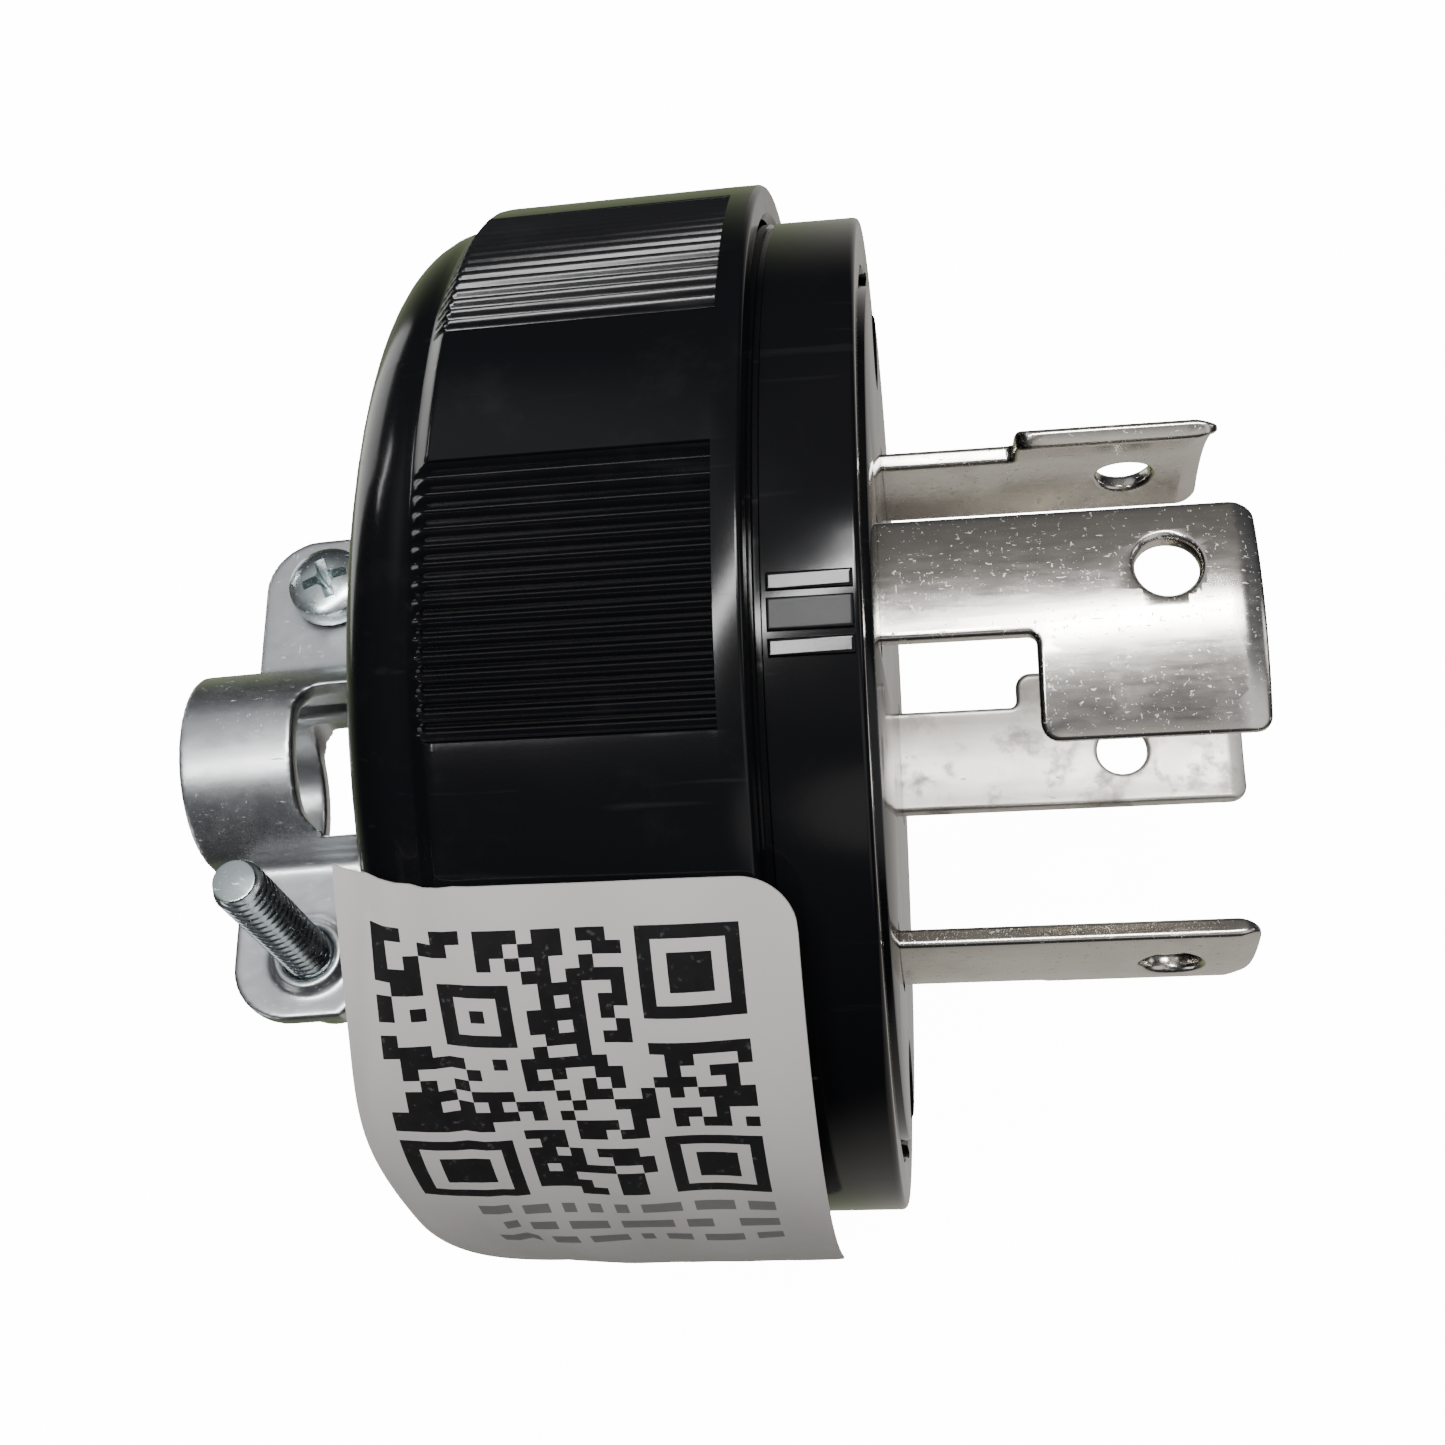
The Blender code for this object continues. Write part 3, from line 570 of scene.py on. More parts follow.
def cap_columns():
    """Angles round the cap, in degrees, with each one's drop below the plain grip."""
    angles = []
    drops = []
    pitch = 2 * GROUP_HALF / RIBS_PER_GROUP
    for number in range(GRIP_GROUPS):
        centre = GROUP_CENTRE + 360.0 * number / GRIP_GROUPS
        for i in range(RIBS_PER_GROUP * RIB_COLUMNS + 1):
            offset = -GROUP_HALF + pitch * i / RIB_COLUMNS
            share = (i % RIB_COLUMNS) / RIB_COLUMNS
            wave = 0.5 - 0.5 * abs(1.0 - 2.0 * share)
            wave += 0.25 * (1.0 - math.cos(math.tau * share))
            angles.append(centre + offset)
            drops.append(RIB_CREST + RIB_DEPTH * wave)
        edge = centre + GROUP_HALF
        gap = 360.0 / GRIP_GROUPS - 2 * GROUP_HALF
        for along, drop_to in ((0.06, 0.20), (0.13, 0.06), (0.24, 0.01), (0.9, 0.0),
                               (gap / 3, 0.0), (2 * gap / 3, 0.0), (gap - 0.9, 0.0),
                               (gap - 0.24, 0.01), (gap - 0.13, 0.06), (gap - 0.06, 0.20)):
            angles.append(edge + along)
            drops.append(drop_to * MM)
    return np.radians(np.array(angles)), np.array(drops)


def entry_radius(angles, grow):
    """Distance from the axis to the cord entry's outline in each direction."""
    half_y = ENTRY_HALF_WIDTH + grow
    half_z = ENTRY_HALF_HEIGHT + grow
    corner = ENTRY_CORNER + grow
    across = np.abs(np.sin(angles))
    up = np.abs(np.cos(angles))
    low = np.zeros_like(angles)
    high = np.full_like(angles, 2 * half_z)
    for _ in range(40):
        middle = (low + high) / 2
        y = middle * across - (half_y - corner)
        z = middle * up - (half_z - corner)
        outside = np.hypot(np.maximum(y, 0), np.maximum(z, 0)) + np.minimum(
            np.maximum(y, z), 0) - corner
        low = np.where(outside < 0, middle, low)
        high = np.where(outside < 0, high, middle)
    return low


def make_cap():
    angles, drops = cap_columns()
    bore = INSERT_R + GAP
    inner_back = CAP_BACK + REAR_WALL
    rows = []

    def ring(x, radius, share=0.0, floor=None):
        r = np.full(len(angles), radius) if np.isscalar(radius) else radius
        r = r - share * drops
        if floor is not None:
            r = np.minimum(r, floor - drops)
        rows.append(np.stack([np.full(len(angles), x), r * np.sin(angles),
                              r * np.cos(angles)], axis=1))

    ring(INSERT_BACK - GAP, bore)
    ring(CAP_FRONT - 0.35 * MM, bore)
    ring(CAP_FRONT, bore + 0.3 * MM)
    ring(CAP_FRONT, COLLAR_R - 0.35 * MM)
    for x, r in arc((CAP_FRONT - 0.3 * MM, COLLAR_R - 0.3 * MM), 0.3 * MM, 15, 90, 5):
        ring(x, r)
    slope = (COLLAR_R - GRIP_R) / (COLLAR_BACK - GRIP_BACK)
    ring(COLLAR_BACK + 0.12 * MM, COLLAR_R)
    ring(COLLAR_BACK + 0.09 * MM, COLLAR_R, 1.0)
    for x in np.linspace(COLLAR_BACK - 0.5 * MM, GRIP_BACK + 0.4 * MM, 9):
        ring(x, COLLAR_R - slope * (COLLAR_BACK - x), 1.0)
    edge = [(GRIP_BACK + 0.15 * MM, GRIP_R - 0.01 * MM), (GRIP_BACK, GRIP_R - 0.07 * MM),
            (GRIP_BACK - 0.14 * MM, GRIP_R - 0.2 * MM),
            (GRIP_BACK - 0.5 * MM, GRIP_R - 0.58 * MM),
            (GRIP_BACK - 0.72 * MM, RING_R + 0.1 * MM), (RING_FRONT, RING_R)]
    for x, r in edge:
        ring(x, r, 0.0, GRIP_R)
    centre = (CAP_BACK + REAR_ROUND, RING_R - REAR_ROUND)
    start = 90 + math.degrees(math.asin((centre[0] - RING_FRONT) / REAR_ROUND))
    for x, r in arc(centre, REAR_ROUND, start, 180, 14)[1:]:
        ring(x, r)
    ring(CAP_BACK, 19.6 * MM)
    ring(CAP_BACK + 0.25 * MM, 19.3 * MM)
    ring(CAP_BACK + 0.25 * MM, 15.0 * MM)
    ring(CAP_BACK + 0.25 * MM, entry_radius(angles, 0.7 * MM))
    ring(CAP_BACK + 0.08 * MM, entry_radius(angles, 0.55 * MM))
    ring(CAP_BACK + 0.02 * MM, entry_radius(angles, 0.3 * MM))
    ring(CAP_BACK + 0.12 * MM, entry_radius(angles, 0.08 * MM))
    ring(CAP_BACK + 0.4 * MM, entry_radius(angles, 0.0))
    ring(inner_back - 0.3 * MM, entry_radius(angles, 0.0))
    ring(inner_back, entry_radius(angles, 0.25 * MM))
    ring(inner_back, 15.0 * MM)
    for x, r in arc((inner_back + CAVITY_ROUND, CAVITY_R - CAVITY_ROUND), CAVITY_ROUND,
                    180, 90, 5):
        ring(x, r)
    ring(INSERT_BACK - GAP, CAVITY_R)
    item = shade(grid_object("cap_shell", rows, wrap_rows=True), 34.0)
    finish_piece(item, "housing", CAP_BLACK, "cap", "cap")
    for number, angle in enumerate(ASSEMBLY_ANGLES, start=1):
        front = INSERT_BACK - GAP
        boss = turned(f"cap_boss_{number}", [
            (front - NUT_ROOM_DEPTH, NUT_ROOM_R), (front - 0.2 * MM, NUT_ROOM_R),
            (front, 2.8 * MM),
            (front, BOSS_R - 0.3 * MM), (front - 0.3 * MM, BOSS_R),
            (inner_back + 0.5 * MM, BOSS_R), (inner_back, BOSS_R + 0.5 * MM),
            (inner_back, BOSS_BORE_R), (front - NUT_ROOM_DEPTH, BOSS_BORE_R)],
            40, wrap=True)
        boss.data.transform(Matrix.Translation(polar(ASSEMBLY_R, angle)))
        finish_piece(shade(boss), "housing", CAP_BLACK, "cap")


# ---- insert

def sector_outline(inner, outer, half, grow):
    """An annular slot about +Z seen along X, as (y, z) points, grown by a distance."""
    middle = (inner + outer) / 2
    thick = (outer - inner) / 2 + grow
    reach = half + grow / middle
    corner = min(SLOT_END_ROUND + grow, 0.98 * thick)
    flat = rounded_rectangle(reach * middle, thick, corner, 5)
    outline = []
    for (u, v), (next_u, next_v) in zip(flat, flat[1:] + flat[:1]):
        steps = max(1, int(abs(next_u - u) / (0.35 * MM)))
        for i in range(steps):
            along = u + (next_u - u) * i / steps
            high = v + (next_v - v) * i / steps
            angle = along / middle
            radius = middle + high
            outline.append((radius * math.sin(angle), radius * math.cos(angle)))
    return outline


def make_insert():
    profile = [(INSERT_BACK, 0.4 * MM), (INSERT_BACK, INSERT_R - 0.3 * MM),
               (INSERT_BACK + 0.3 * MM, INSERT_R),
               (CAP_FRONT + 0.15 * MM, INSERT_R - 0.02 * MM),
               (CAP_FRONT + 0.22 * MM, INSERT_R - 0.22 * MM),
               (CAP_FRONT + SIDE_LIP, INSERT_R - 0.22 * MM),
               (CAP_FRONT + SIDE_LIP + 0.08 * MM, INSERT_R)]
    profile += arc((-RIM_DROP - 0.3 * MM, INSERT_R - 0.3 * MM), 0.3 * MM, 90, 0, 6)
    profile += [(-RIM_DROP, RIM_INNER_R + 0.35 * MM),
                (-RIM_DROP - 0.1 * MM, RIM_INNER_R + 0.12 * MM),
                (-MOAT_DEPTH + 0.1 * MM, RIM_INNER_R), (-MOAT_DEPTH, RIM_INNER_R - 0.1 * MM),
                (-MOAT_DEPTH, DISC_R + 0.3 * MM), (-MOAT_DEPTH + 0.1 * MM, DISC_R + 0.15 * MM),
                (-0.2 * MM, DISC_R), (-0.06 * MM, DISC_R - 0.06 * MM), (0.0, DISC_R - 0.2 * MM),
                (0.0, 0.4 * MM)]
    item = turned("insert_body", profile, 240)
    cuts = []
    for number, angle in enumerate(BLADE_ANGLES, start=1):
        inner = BLADE_R - BLADE_THICK
        half = BLADE_HALF_ANGLE + SLOT_SPARE_ANGLE
        sections = []
        for x, grow in ((CUT_PAST, 1.2 * MM), (-0.25 * MM, 0.22 * MM),
                        (INSERT_BACK - CUT_PAST, 0.2 * MM)):
            sections.append((x, sector_outline(inner, BLADE_R, half, grow)))
        slot_cut = grid_object(f"slot_{number}", [
            [(x, y, z) for y, z in outline] for x, outline in sections], cap_ends=True)
        slot_cut.data.transform(Matrix.Rotation(-angle, 4, "X"))
        cuts.append(slot_cut)
        room = turned(f"room_{number}", [(TERMINAL_TIP + GAP, ROOM_R),
                                         (INSERT_BACK - CUT_PAST, ROOM_R)], 32)
        room.data.transform(Matrix.Translation(polar(TERMINAL_R, angle)))
        cuts.append(room)
    for number, angle in enumerate(ASSEMBLY_ANGLES, start=1):
        bore = turned(f"bore_{number}", [
            (CUT_PAST, 4.3 * MM), (0.0, 3.35 * MM), (-0.25 * MM, HEAD_BORE_R),
            (ASSEMBLY_SEAT, HEAD_BORE_R), (ASSEMBLY_SEAT, SHANK_BORE_R),
            (INSERT_BACK - CUT_PAST, SHANK_BORE_R)], 48)
        bore.data.transform(Matrix.Translation(polar(ASSEMBLY_R, angle)))
        cuts.append(bore)
    boolean(item, "DIFFERENCE", cuts)
    finish_piece(shade(item, 28.0), "front", INSERT_BLACK, "insert", "blade_holder")

    # The key panel and the two lands beside it: three parallel flats raised from the side.
    front = -RIM_DROP - 0.35 * MM
    back = CAP_FRONT + SIDE_LIP + 0.25 * MM
    outward = polar(1.0, KEY_CENTRE)
    for name, low, high, rise, black in (
            ("key_panel", -1.55, 1.55, 0.22 * MM, KEY_BLACK),
            ("key_land_upper", 2.15, 3.9, 0.16 * MM, INSERT_BLACK),
            ("key_land_lower", -3.9, -2.15, 0.16 * MM, INSERT_BLACK)):
        rows = []
        middle = math.cos(math.radians((low + high) / 2))
        for share, inset in ((-1.0, 0.0), (0.0, 0.0), (0.6, 0.02), (0.88, 0.06), (1.0, 0.12),
                             (1.0, 0.17), (1.0, 0.24)):
            radius = INSERT_R + share * rise
            row = []
            start = low + inset * 2.2
            end = high - inset * 2.2
            near = front - inset * MM
            far = back + inset * MM
            for i in range(13):
                row.append(polar(radius, KEY_CENTRE + math.radians(
                    start + (end - start) * i / 12), near))
            for i in range(13):
                row.append(polar(radius, KEY_CENTRE + math.radians(
                    end + (start - end) * i / 12), far))
            if share > 0:
                row = [p + outward * (radius * middle - p.dot(outward)) for p in row]
            rows.append(row)
        item = grid_object(name, rows, cap_ends=True)
        finish_piece(shade(item, 50.0), "front", black, "insert")


# ---- blades

def blade_outline(tip, hook_angle):
    side = BLADE_MID * BLADE_HALF_ANGLE
    hook = BLADE_MID * (BLADE_HALF_ANGLE + hook_angle)
    outline = [(TAB_BACK, side), (TAB_BACK, -side)]
    outline += arc((HOOK_START - HOOK_FILLET, -side - HOOK_FILLET), HOOK_FILLET, 90, 0, 5)
    outline += arc((HOOK_START + HOOK_ROUND, HOOK_ROUND - hook), HOOK_ROUND, 180, 270, 8)
    outline += arc((tip - TIP_ROUND, TIP_ROUND - hook), TIP_ROUND, 270, 360, 6)
    outline += arc((tip - HOOK_ROUND, side - HOOK_ROUND), HOOK_ROUND, 0, 90, 6)
    return outline


def make_blade(name, tip, hook_angle):
    """A curved hooked plate with a thinned tip and a countersunk hole."""
    hole = circle((BLADE_HOLE_X, BLADE_HOLE_Y), BLADE_HOLE_R, 40, -1)
    item = plate(name, [blade_outline(tip, hook_angle), hole], BLADE_THICK, BLADE_EDGE)
    shape = bmesh.new()
    shape.from_mesh(item.data)

    def slice_at(point, normal):
        everything = shape.verts[:] + shape.edges[:] + shape.faces[:]
        bmesh.ops.bisect_plane(shape, geom=everything, plane_co=point, plane_no=normal,
                               dist=0.0000005)

    reach = BLADE_MID * (BLADE_HALF_ANGLE + hook_angle)
    step = BLADE_MID * math.radians(2.0)
    for i in range(-int(reach / step), int(BLADE_MID * BLADE_HALF_ANGLE / step) + 1):
        slice_at((0.0, (i + 0.37) * step, 0.0), (0.0, 1.0, 0.0))
    for x in (0.0, 2.0 * MM, 4.5 * MM, HOOK_START, 9.0 * MM, 11.0 * MM, 12.3 * MM,
              14.9 * MM, 16.2 * MM, tip - TIP_TAPER, tip - 0.8 * MM, tip - 0.5 * MM):
        slice_at((x, 0.0, 0.0), (1.0, 0.0, 0.0))
    for vertex in shape.verts:
        x, y, z = vertex.co
        thin = max(0.0, (x - (tip - TIP_TAPER)) / TIP_TAPER)
        z *= 1.0 - TIP_THINNING * thin ** 1.2
        distance = math.hypot(x - BLADE_HOLE_X, y - BLADE_HOLE_Y)
        if distance < BLADE_HOLE_R + HOLE_BEVEL and z > 0:
            z -= HOLE_BEVEL_DEPTH * (1 - (distance - BLADE_HOLE_R) / HOLE_BEVEL)
        vertex.co = polar(BLADE_MID + z, y / BLADE_MID, x)
    bmesh.ops.recalc_face_normals(shape, faces=shape.faces)
    shape.to_mesh(item.data)
    shape.free()
    shade(item, 32.0)
    weigh = item.modifiers.new("weigh", "WEIGHTED_NORMAL")
    weigh.keep_sharp = True
    weigh.weight = 100
    return bake(item)


def make_blades():
    line = None
    for number, angle in enumerate(BLADE_ANGLES, start=1):
        name = f"nickel_blade_{number}"
        if number == EARTH_BLADE:
            item = make_blade(name, EARTH_TIP, EARTH_HOOK_ANGLE)
        elif line is None:
            item = make_blade(name, BLADE_TIP, HOOK_ANGLE)
            line = item.data.copy()
        else:
            item = new_object(name, line.copy())
        item.data.transform(Matrix.Rotation(-angle, 4, "X"))
        finish_piece(item, "front", DULL_NICKEL if number == EARTH_BLADE else NICKEL, "blade")
        tab = plate(f"terminal_tab_{number}", [
            rounded_rectangle(4.0 * MM, 3.8 * MM, 0.8 * MM),
            circle((0.0, 0.0), TAB_HOLE_R, 24, -1)], TAB_THICK, TAB_EDGE)
        stand = Matrix(((0, 0, 1, TAB_BACK + TAB_THICK / 2), (0, 1, 0, 0),
                        (1, 0, 0, TERMINAL_R - 0.15 * MM), (0, 0, 0, 1)))
        tab.data.transform(Matrix.Rotation(-angle, 4, "X") @ stand)
        turn_out(tab.data)
        finish_piece(shade(tab), "front", NICKEL, "blade")
        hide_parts(f"blade_{number}")


# ---- screws

def cross_outline(arm, width, soft):
    """A plus sign with softened inner corners."""
    quarter = [(arm, -width), (arm, width), (width + soft, width), (width, width + soft)]
    outline = []
    for i in range(4):
        c, s = ((1, 0), (0, 1), (-1, 0), (0, -1))[i]
        outline += [(c * u - s * v, s * u + c * v) for u, v in quarter]
    return outline


def make_screw(name, sizes, length, pitch, turn):
    """A pan head screw with a helical thread and a cross recess.

    Its origin is the head's underside, and the shank runs to -Z.
    """
    shank, head_r, head = sizes
    angles = np.linspace(0.0, math.tau, SCREW_COLUMNS, endpoint=False)
    rows = []

    def ring(z, radius):
        r = np.broadcast_to(radius, angles.shape)
        rows.append(np.stack([r * np.cos(angles), r * np.sin(angles),
                              np.full(SCREW_COLUMNS, z)], axis=1))

    for share in (0.04, 0.3, 0.55, 0.75, 0.9, 0.97):
        ring(head * (0.58 + 0.42 * math.sqrt(max(0.0, 1 - (share / 1.02) ** 2))),
             share * head_r)
    ring(0.55 * head, head_r)
    ring(0.12 * head, head_r)
    ring(0.0, 0.96 * head_r)
    ring(0.0, 0.97 * shank)
    depth = THREAD_DEPTH * pitch
    count = int((length - 0.35 * pitch) / pitch * THREAD_ROWS)
    for i in range(1, count + 1):
        z = -i * pitch / THREAD_ROWS
        phase = (z / pitch + angles / math.tau) % 1.0
        wave = 0.5 - 0.5 * np.cos(math.tau * phase)
        lead_out = min(1.0, (length + z) / (0.8 * pitch))
        ring(z, shank - depth * (1 - wave * lead_out) - (1 - lead_out) * 0.12 * shank)
    ring(-length + 0.02 * MM, 0.80 * shank)
    ring(-length, 0.74 * shank)
    ring(-length, 0.05 * shank)
    item = grid_object(name, rows, cap_ends=True)
    recess = loft(name + "_recess", [
        (head * 1.3, cross_outline(0.66 * head_r, 0.15 * head_r, 0.10 * head_r)),
        (head * 0.98, cross_outline(0.60 * head_r, 0.13 * head_r, 0.08 * head_r)),
        (head * 0.5, cross_outline(0.36 * head_r, 0.09 * head_r, 0.05 * head_r)),
        (head * 0.22, cross_outline(0.14 * head_r, 0.05 * head_r, 0.03 * head_r))])
    recess.data.transform(Matrix.Rotation(turn, 4, "Z"))
    boolean(item, "DIFFERENCE", [recess])
    return shade(item, 36.0)


def place_along(item, point, direction):
    turn = Vector(direction).to_track_quat("Z", "Y").to_matrix().to_4x4()
    item.data.transform(Matrix.Translation(point) @ turn)


def make_assembly_screws():
    seat = ASSEMBLY_SEAT + GAP
    for number, angle in enumerate(ASSEMBLY_ANGLES, start=1):
        item = make_screw(f"long_screw_{number}", ASSEMBLY_SCREW, ASSEMBLY_LENGTH,
                          ASSEMBLY_PITCH, 0.3)
        place_along(item, polar(ASSEMBLY_R, angle, seat), (1.0, 0.0, 0.0))
        finish_piece(item, f"assembly_screw_{number}", ZINC, "screw",
                     f"assembly_screw_{number}")


# ---- cord clamp

def ear_plan(reach):
    low = -TAPPED_EAR_REACH
    back = EAR_BACK + EAR_ROUND
    return [
        *arc((back, low + EAR_ROUND), EAR_ROUND, 270, 180, 12),
        *arc((back, reach - EAR_ROUND), EAR_ROUND, 180, 90, 12),
        (EAR_FRONT - 0.9 * MM, reach), (EAR_FRONT, reach - 0.9 * MM),
        (EAR_FRONT, low + 0.9 * MM), (EAR_FRONT - 0.9 * MM, low),
    ]


def arch_section(radius, foot):
    centre = EAR_FACE + 0.1 * MM
    return [(radius, foot), *arc((0.0, centre), radius, 0, 180, 48), (-radius, foot)]


def along_x(name, low, high, outline):
    """A closed prism along X from a (y, z) outline."""
    return grid_object(name, [[(x, y, z) for y, z in outline] for x in (low, high)],
                       cap_ends=True)


def clamp_half(name, reach, slot_back):
    """One half above the parting plane: voxels soften every edge, as on stamped metal."""
    plan = ear_plan(reach)
    item = loft(name, [(EAR_FACE - SHEET, plan), (EAR_FACE, plan)])
    arch = along_x("arch", ARCH_BACK, ARCH_FRONT, arch_section(ARCH_R, EAR_FACE - SHEET))
    tapped_y = -CLAMP_SCREW_SPACING / 2
    tab_plan = [(ARCH_FRONT - SHEET, -CLAMP_TAB_HALF), (ARCH_FRONT, -CLAMP_TAB_HALF),
                (ARCH_FRONT, CLAMP_TAB_HALF), (ARCH_FRONT - SHEET, CLAMP_TAB_HALF)]
    tab = loft("tab", [(EAR_FACE + 3.0 * MM, tab_plan), (CLAMP_TAB_TOP, tab_plan)])
    collar = loft("collar", [
        (z, circle((CLAMP_SCREW_X, tapped_y), r, 48))
        for z, r in ((EAR_FACE - 0.6 * MM, 2.35 * MM), (EAR_FACE + 0.03 * MM, 2.25 * MM),
                     (EAR_FACE + 0.25 * MM, 2.0 * MM), (EAR_FACE + 0.6 * MM, 1.9 * MM))])
    fillets = []
    for side in (-1, 1):
        root = side * ARCH_R
        profile = [(root - side * 0.3 * MM, EAR_FACE - 0.2 * MM),
                   (root + side * ARCH_FILLET, EAR_FACE - 0.2 * MM)]
        curve = arc((0.0, 0.0), ARCH_FILLET, 270, 180, 8)
        profile += [(root + side * (ARCH_FILLET + u), EAR_FACE + ARCH_FILLET + v)
                    for u, v in curve]
        profile += [(root - side * 0.3 * MM, EAR_FACE + ARCH_FILLET)]
        fillets.append(along_x(f"fillet_{side}", EAR_BACK + 0.3 * MM, EAR_FRONT, profile))
    boolean(item, "UNION", [arch, tab, collar, *fillets])
    tunnel = along_x("tunnel", ARCH_BACK - MM, ARCH_FRONT + MM,
                     arch_section(ARCH_R - SHEET, -MM))
    middle = (slot_back + SLOT_FRONT) / 2
    half_length = (SLOT_FRONT - slot_back) / 2
    window = loft("window", [
        (z, [(middle + u, SLOT_Y + v) for u, v in
             rounded_rectangle(half_length, SLOT_WIDTH / 2, SLOT_CORNER)])
        for z in (EAR_FACE, EAR_FACE + 2 * ARCH_R)])
    cuts = [tunnel, window]
    for label, y, radius in (("tapped", tapped_y, TAPPED_HOLE_R),
                             ("plain", -tapped_y, PLAIN_HOLE_R)):
        plan = circle((CLAMP_SCREW_X, y), radius, 40)
        cuts.append(loft(label, [(-MM, plan), (EAR_FACE + 3 * MM, plan)]))
    boolean(item, "DIFFERENCE", cuts)
    voxels = item.modifiers.new("voxels", "REMESH")
    voxels.mode = "VOXEL"
    voxels.voxel_size = VOXEL
    soften = item.modifiers.new("soften", "SMOOTH")
    soften.factor = 0.5
    soften.iterations = 5
    bake(item)
    item.data.shade_smooth()
    return item


def make_clamp():
    seat = EAR_FACE + GAP
    place = (Matrix.Translation((CLAMP_SCREW_X, CLAMP_Y, 0.0))
             @ Matrix.Rotation(CLAMP_YAW, 4, "Z")
             @ Matrix.Translation((-CLAMP_SCREW_X, 0.0, 0.0)))
    upper = clamp_half("clamp_half_upper", UPPER_EAR_REACH, UPPER_SLOT_BACK)
    lower = clamp_half("clamp_half_lower", LOWER_EAR_REACH, LOWER_SLOT_BACK)
    lower.data.transform(Matrix.Rotation(math.pi, 4, "X"))
    for item, body in ((upper, "clamp_upper"), (lower, "clamp_lower")):
        item.data.transform(place)
        finish_piece(item, body, CLAMP_STEEL, "clamp_sheet", f"cord_{body}")
    for number, side in ((1, 1), (2, -1)):
        item = make_screw(f"clamp_bolt_{number}", CLAMP_SCREW, seat + CLAMP_TIP,
                          CLAMP_PITCH, 0.35)
        point = place @ Vector((CLAMP_SCREW_X, side * CLAMP_SCREW_SPACING / 2, side * seat))
        place_along(item, point, (0.0, 0.0, side))
        finish_piece(item, f"clamp_screw_{number}", ZINC, "screw", f"clamp_screw_{number}")


# ---- sticker

def code_pattern():
    """A generic block pattern: seeded random cells, three corner squares and one small one."""
    chance = random.Random(20)
    cells = [[chance.random() < 0.5 for _ in range(CODE_CELLS)] for _ in range(CODE_CELLS)]
    last = CODE_CELLS - 1

    def square(row, column, half, pattern):
        for i in range(-half - 1, half + 2):
            for j in range(-half - 1, half + 2):
                r = row + i
                c = column + j
                if 0 <= r <= last and 0 <= c <= last:
                    reach = max(abs(i), abs(j))
                    cells[r][c] = pattern[min(reach, half + 1)]

    for row, column in ((3, 3), (last - 3, 3), (last - 3, last - 3)):
        square(row, column, 3, (True, True, False, True, False))
    square(6, last - 6, 2, (True, False, True, False))
    return cells


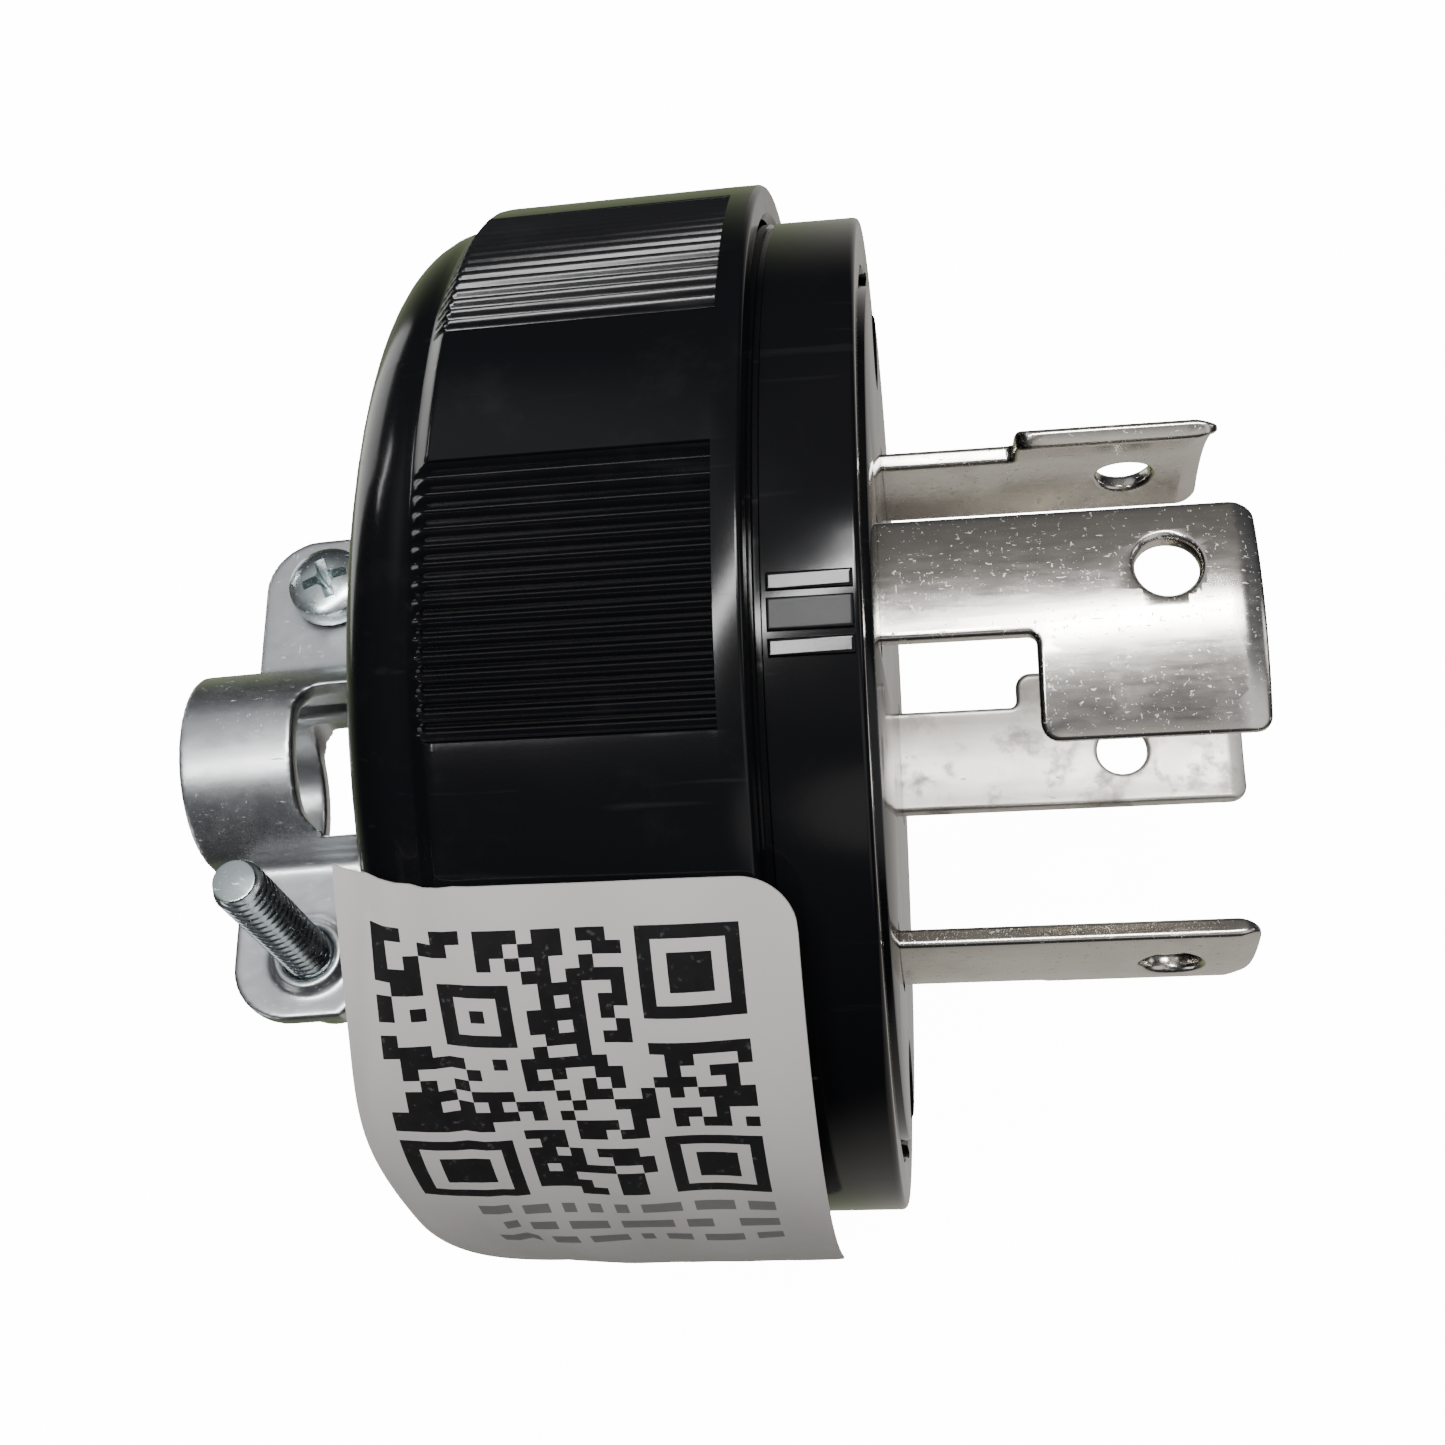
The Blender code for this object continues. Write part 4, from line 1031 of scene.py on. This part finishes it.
def make_label():
    """A thin sheet on the cap; its rear end stands free and curls away from the round."""
    cells = code_pattern()
    cell_angle = math.degrees(CODE_CELL / LABEL_R)
    code_back = CODE_FRONT - CODE_CELLS * CODE_CELL
    code_bottom = CODE_TOP - CODE_CELLS * cell_angle
    xs = [LABEL_FRONT + (CODE_FRONT - LABEL_FRONT) * i / MARGIN_STEPS
          for i in range(MARGIN_STEPS)]
    xs += [CODE_FRONT - CODE_CELL * i for i in range(CODE_CELLS + 1)]
    xs += [code_back + (LABEL_BACK - code_back) * i / REAR_STEPS
           for i in range(1, REAR_STEPS + 1)]
    turns = [LABEL_TOP + (CODE_TOP - LABEL_TOP) * i / MARGIN_STEPS
             for i in range(MARGIN_STEPS)]
    turns += [CODE_TOP - cell_angle * i for i in range(CODE_CELLS + 1)]
    turns += [code_bottom + (LABEL_BOTTOM - code_bottom) * i / LOWER_STEPS
              for i in range(1, LOWER_STEPS + 1)]
    chance = random.Random(7)
    bars = []
    for below in BAR_DROPS:
        ends = []
        x = CODE_FRONT - 0.3 * MM
        while x > code_back + 2.0 * MM:
            length = chance.uniform(0.6, 2.4) * MM
            ends.append((x, x - length))
            x -= length + chance.uniform(0.5, 0.8) * MM
        bars.append((code_bottom - below, code_bottom - below - BAR_HEIGHT, ends))

    def surface(x, degrees):
        angle = math.radians(degrees)
        radius = LABEL_R + 0.12 * MM * math.sin(x * 900.0) * math.sin(angle * 9.0)
        over = max(0.0, (LABEL_FREE - x) / LABEL_FREE_LENGTH)
        top = max(0.0, 1.0 - (LABEL_TOP - degrees) / 14.0)
        radius -= 0.25 * MM * over
        angle += math.radians(2.3) * over ** 1.6 * top
        for middle, slant, depth in LABEL_FOLDS:
            fold = (x / MM - middle - slant * (degrees - LABEL_TOP)) / 0.42
            radius -= depth * MM * math.exp(-fold * fold) * (1.0 - 0.5 * math.sin(4.0 * angle))
        bulge = math.exp(-((degrees + 66.0) / 15.0) ** 2)
        x -= 1.2 * MM * min(over, 1.0) * bulge
        sweep = max(0.0, (-80.0 - degrees) / 21.0)
        x -= 0.42 * sweep ** 2 * min(0.0, x + 10.0 * MM)
        return polar(radius, angle, x)

    def rounded(x, degrees):
        """Pull the grid's front corners in to a round."""
        for edge, sign in ((LABEL_TOP, -1.0), (LABEL_BOTTOM, 1.0)):
            along = LABEL_FRONT - x
            across = sign * math.radians(degrees - edge) * LABEL_R
            if along < LABEL_ROUND and across < LABEL_ROUND:
                u = LABEL_ROUND - along
                v = LABEL_ROUND - across
                reach = math.hypot(u, v)
                if reach > 0:
                    scale = max(u, v) / reach
                    u *= scale
                    v *= scale
                x = LABEL_FRONT - (LABEL_ROUND - u)
                degrees = edge + sign * math.degrees((LABEL_ROUND - v) / LABEL_R)
        return x, degrees

    shape = bmesh.new()
    grid = [[shape.verts.new(surface(*rounded(x, t))) for x in xs] for t in turns]
    for i in range(len(turns) - 1):
        for j in range(len(xs) - 1):
            face = shape.faces.new((grid[i][j], grid[i][j + 1], grid[i + 1][j + 1],
                                    grid[i + 1][j]))
            row = i - MARGIN_STEPS
            column = j - MARGIN_STEPS
            if 0 <= row < CODE_CELLS and 0 <= column < CODE_CELLS:
                if cells[row][column]:
                    face.material_index = 1
            middle = (turns[i] + turns[i + 1]) / 2
            x_middle = (xs[j] + xs[j + 1]) / 2
            for high, low, ends in bars:
                if low < middle < high and any(a > x_middle > b for a, b in ends):
                    face.material_index = 2
    bmesh.ops.recalc_face_normals(shape, faces=shape.faces)
    mesh = bpy.data.meshes.new("code_sticker")
    shape.to_mesh(mesh)
    shape.free()
    item = new_object("code_sticker", mesh)
    for material in (PAPER, INK, GREY_INK):
        item.data.materials.append(material)
    thick = item.modifiers.new("thickness", "SOLIDIFY")
    thick.thickness = LABEL_THICK
    thick.offset = 1.0
    bake(item)
    finish_piece(shade(item, 50.0), "housing", None, "label", "code_label")


# ---- stage

def make_camera():
    """The camera stands above the plug, turned a little off the normal to its axis."""
    pitch = Matrix.Rotation(math.radians(CAMERA_PITCH), 3, "X")
    yaw = Matrix.Rotation(math.radians(CAMERA_YAW), 3, "Y")
    roll = Matrix.Rotation(math.radians(CAMERA_ROLL), 3, "Z")
    lean = Matrix.Rotation(math.radians(CAMERA_LEAN), 3, "X")
    turn = lean @ (roll @ yaw @ pitch).transposed()
    data = bpy.data.cameras.new("camera")
    data.sensor_width = 36.0
    data.lens = CAMERA_LENS
    data.shift_x, data.shift_y = CAMERA_SHIFT
    data.clip_start = 0.005
    item = bpy.data.objects.new("camera", data)
    bpy.context.scene.collection.objects.link(item)
    place = turn.to_4x4()
    place.translation = lean @ Vector(CAMERA_PLACE)
    item.matrix_world = place
    bpy.context.scene.camera = item


def toward(angle, side):
    """A direction at an angle about the plug's axis, leaning along the axis; degrees."""
    lean = math.radians(side)
    direction = polar(math.cos(lean), math.radians(angle))
    direction.x = math.sin(lean)
    return direction


def make_light(name, angle, side, size, power, spin):
    """A soft panel that faces the plug.

    Its size is given across the axis and along it, and spin turns it about its own middle.
    """
    data = bpy.data.lights.new(name, "AREA")
    data.shape = "RECTANGLE"
    data.size = size[0]
    data.size_y = size[1]
    data.energy = power
    item = bpy.data.objects.new(name, data)
    bpy.context.scene.collection.objects.link(item)
    outward = toward(angle, side)
    along = Vector((1.0, 0.0, 0.0))
    along = (along - outward * along.dot(outward)).normalized()
    turn = Matrix((along.cross(outward), along, outward)).transposed().to_4x4()
    turn = turn @ Matrix.Rotation(math.radians(spin), 4, "Z")
    item.matrix_world = Matrix.Translation(outward * LIGHT_DISTANCE) @ turn


def make_world():
    """A dim room. Below the plug it turns olive on the cord's side and pale on the other."""
    world = bpy.data.worlds.new("studio")
    bpy.context.scene.world = world
    world.use_nodes = True
    tree = world.node_tree
    where = tree.nodes.new("ShaderNodeTexCoord").outputs["Generated"]

    def facing(direction, start, end):
        dot = tree.nodes.new("ShaderNodeVectorMath")
        dot.operation = "DOT_PRODUCT"
        tree.links.new(where, dot.inputs[0])
        dot.inputs[1].default_value = direction
        ramp = tree.nodes.new("ShaderNodeMapRange")
        ramp.interpolation_type = "SMOOTHSTEP"
        ramp.inputs["From Min"].default_value = start
        ramp.inputs["From Max"].default_value = end
        tree.links.new(dot.outputs["Value"], ramp.inputs["Value"])
        return ramp.outputs["Result"]

    def blend(factor, first, second):
        node = tree.nodes.new("ShaderNodeMix")
        node.data_type = "RGBA"
        tree.links.new(factor, node.inputs[0])
        for socket, value in ((node.inputs[6], first), (node.inputs[7], second)):
            if isinstance(value, tuple):
                socket.default_value = (*value, 1.0)
            else:
                tree.links.new(value, socket)
        return node.outputs[2]

    room = blend(facing((0.0, 0.0, 1.0), -0.2, 0.9), ROOM_LOW, ROOM_HIGH)
    for angle, side, outer, inner, colour in PATCHES:
        patch = facing(toward(angle, side), math.cos(math.radians(outer)),
                       math.cos(math.radians(inner)))
        room = blend(patch, room, colour)
    ground = blend(facing((1.0, 0.0, 0.0), -0.10, 0.02), GROUND_OLIVE, GROUND_PALE)
    below = facing(DOWNWARD, 0.35, 0.85)
    tree.links.new(blend(below, room, ground), tree.nodes["Background"].inputs["Color"])


def make_floor():
    """A pale glowing floor and backdrop that only the camera sees."""
    bpy.ops.mesh.primitive_plane_add(size=FLOOR_SIZE, location=(0.0, 0.0, FLOOR_HEIGHT))
    floor = bpy.context.object
    floor.name = "floor"
    look = Look("floor_paper")
    look.set("Base Color", look.mix(look.noise(40.0, 3.0, 0.5), (0.93, 0.93, 0.93),
                                    (0.95, 0.95, 0.95)))
    look.set("Roughness", 0.9)
    look.shader.inputs["Emission Color"].default_value = (1.0, 1.0, 1.0, 1.0)
    look.shader.inputs["Emission Strength"].default_value = STAGE_GLOW
    bpy.ops.mesh.primitive_uv_sphere_add(segments=48, ring_count=24, radius=BACKDROP_R)
    backdrop = bpy.context.object
    backdrop.name = "backdrop"
    for item in (floor, backdrop):
        item.data.materials.append(look.material)
        item.visible_glossy = False
        item.visible_diffuse = False
        item.visible_shadow = False
        item.visible_transmission = False


make_camera()
make_cap()
make_insert()
make_blades()
make_assembly_screws()
make_clamp()
make_label()
for node, material in (("terminal_barrier", BARRIER_BLACK), ("assembly_nut_1", BRASS),
                       ("assembly_nut_2", BRASS)):
    dress(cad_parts[node], material)
for number in range(1, 5):
    dress(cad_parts[f"terminal_plate_{number}"], NICKEL)
    dress(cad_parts[f"terminal_screw_{number}"], ZINC)

make_world()
make_floor()
for light in LIGHTS:
    make_light(*light)
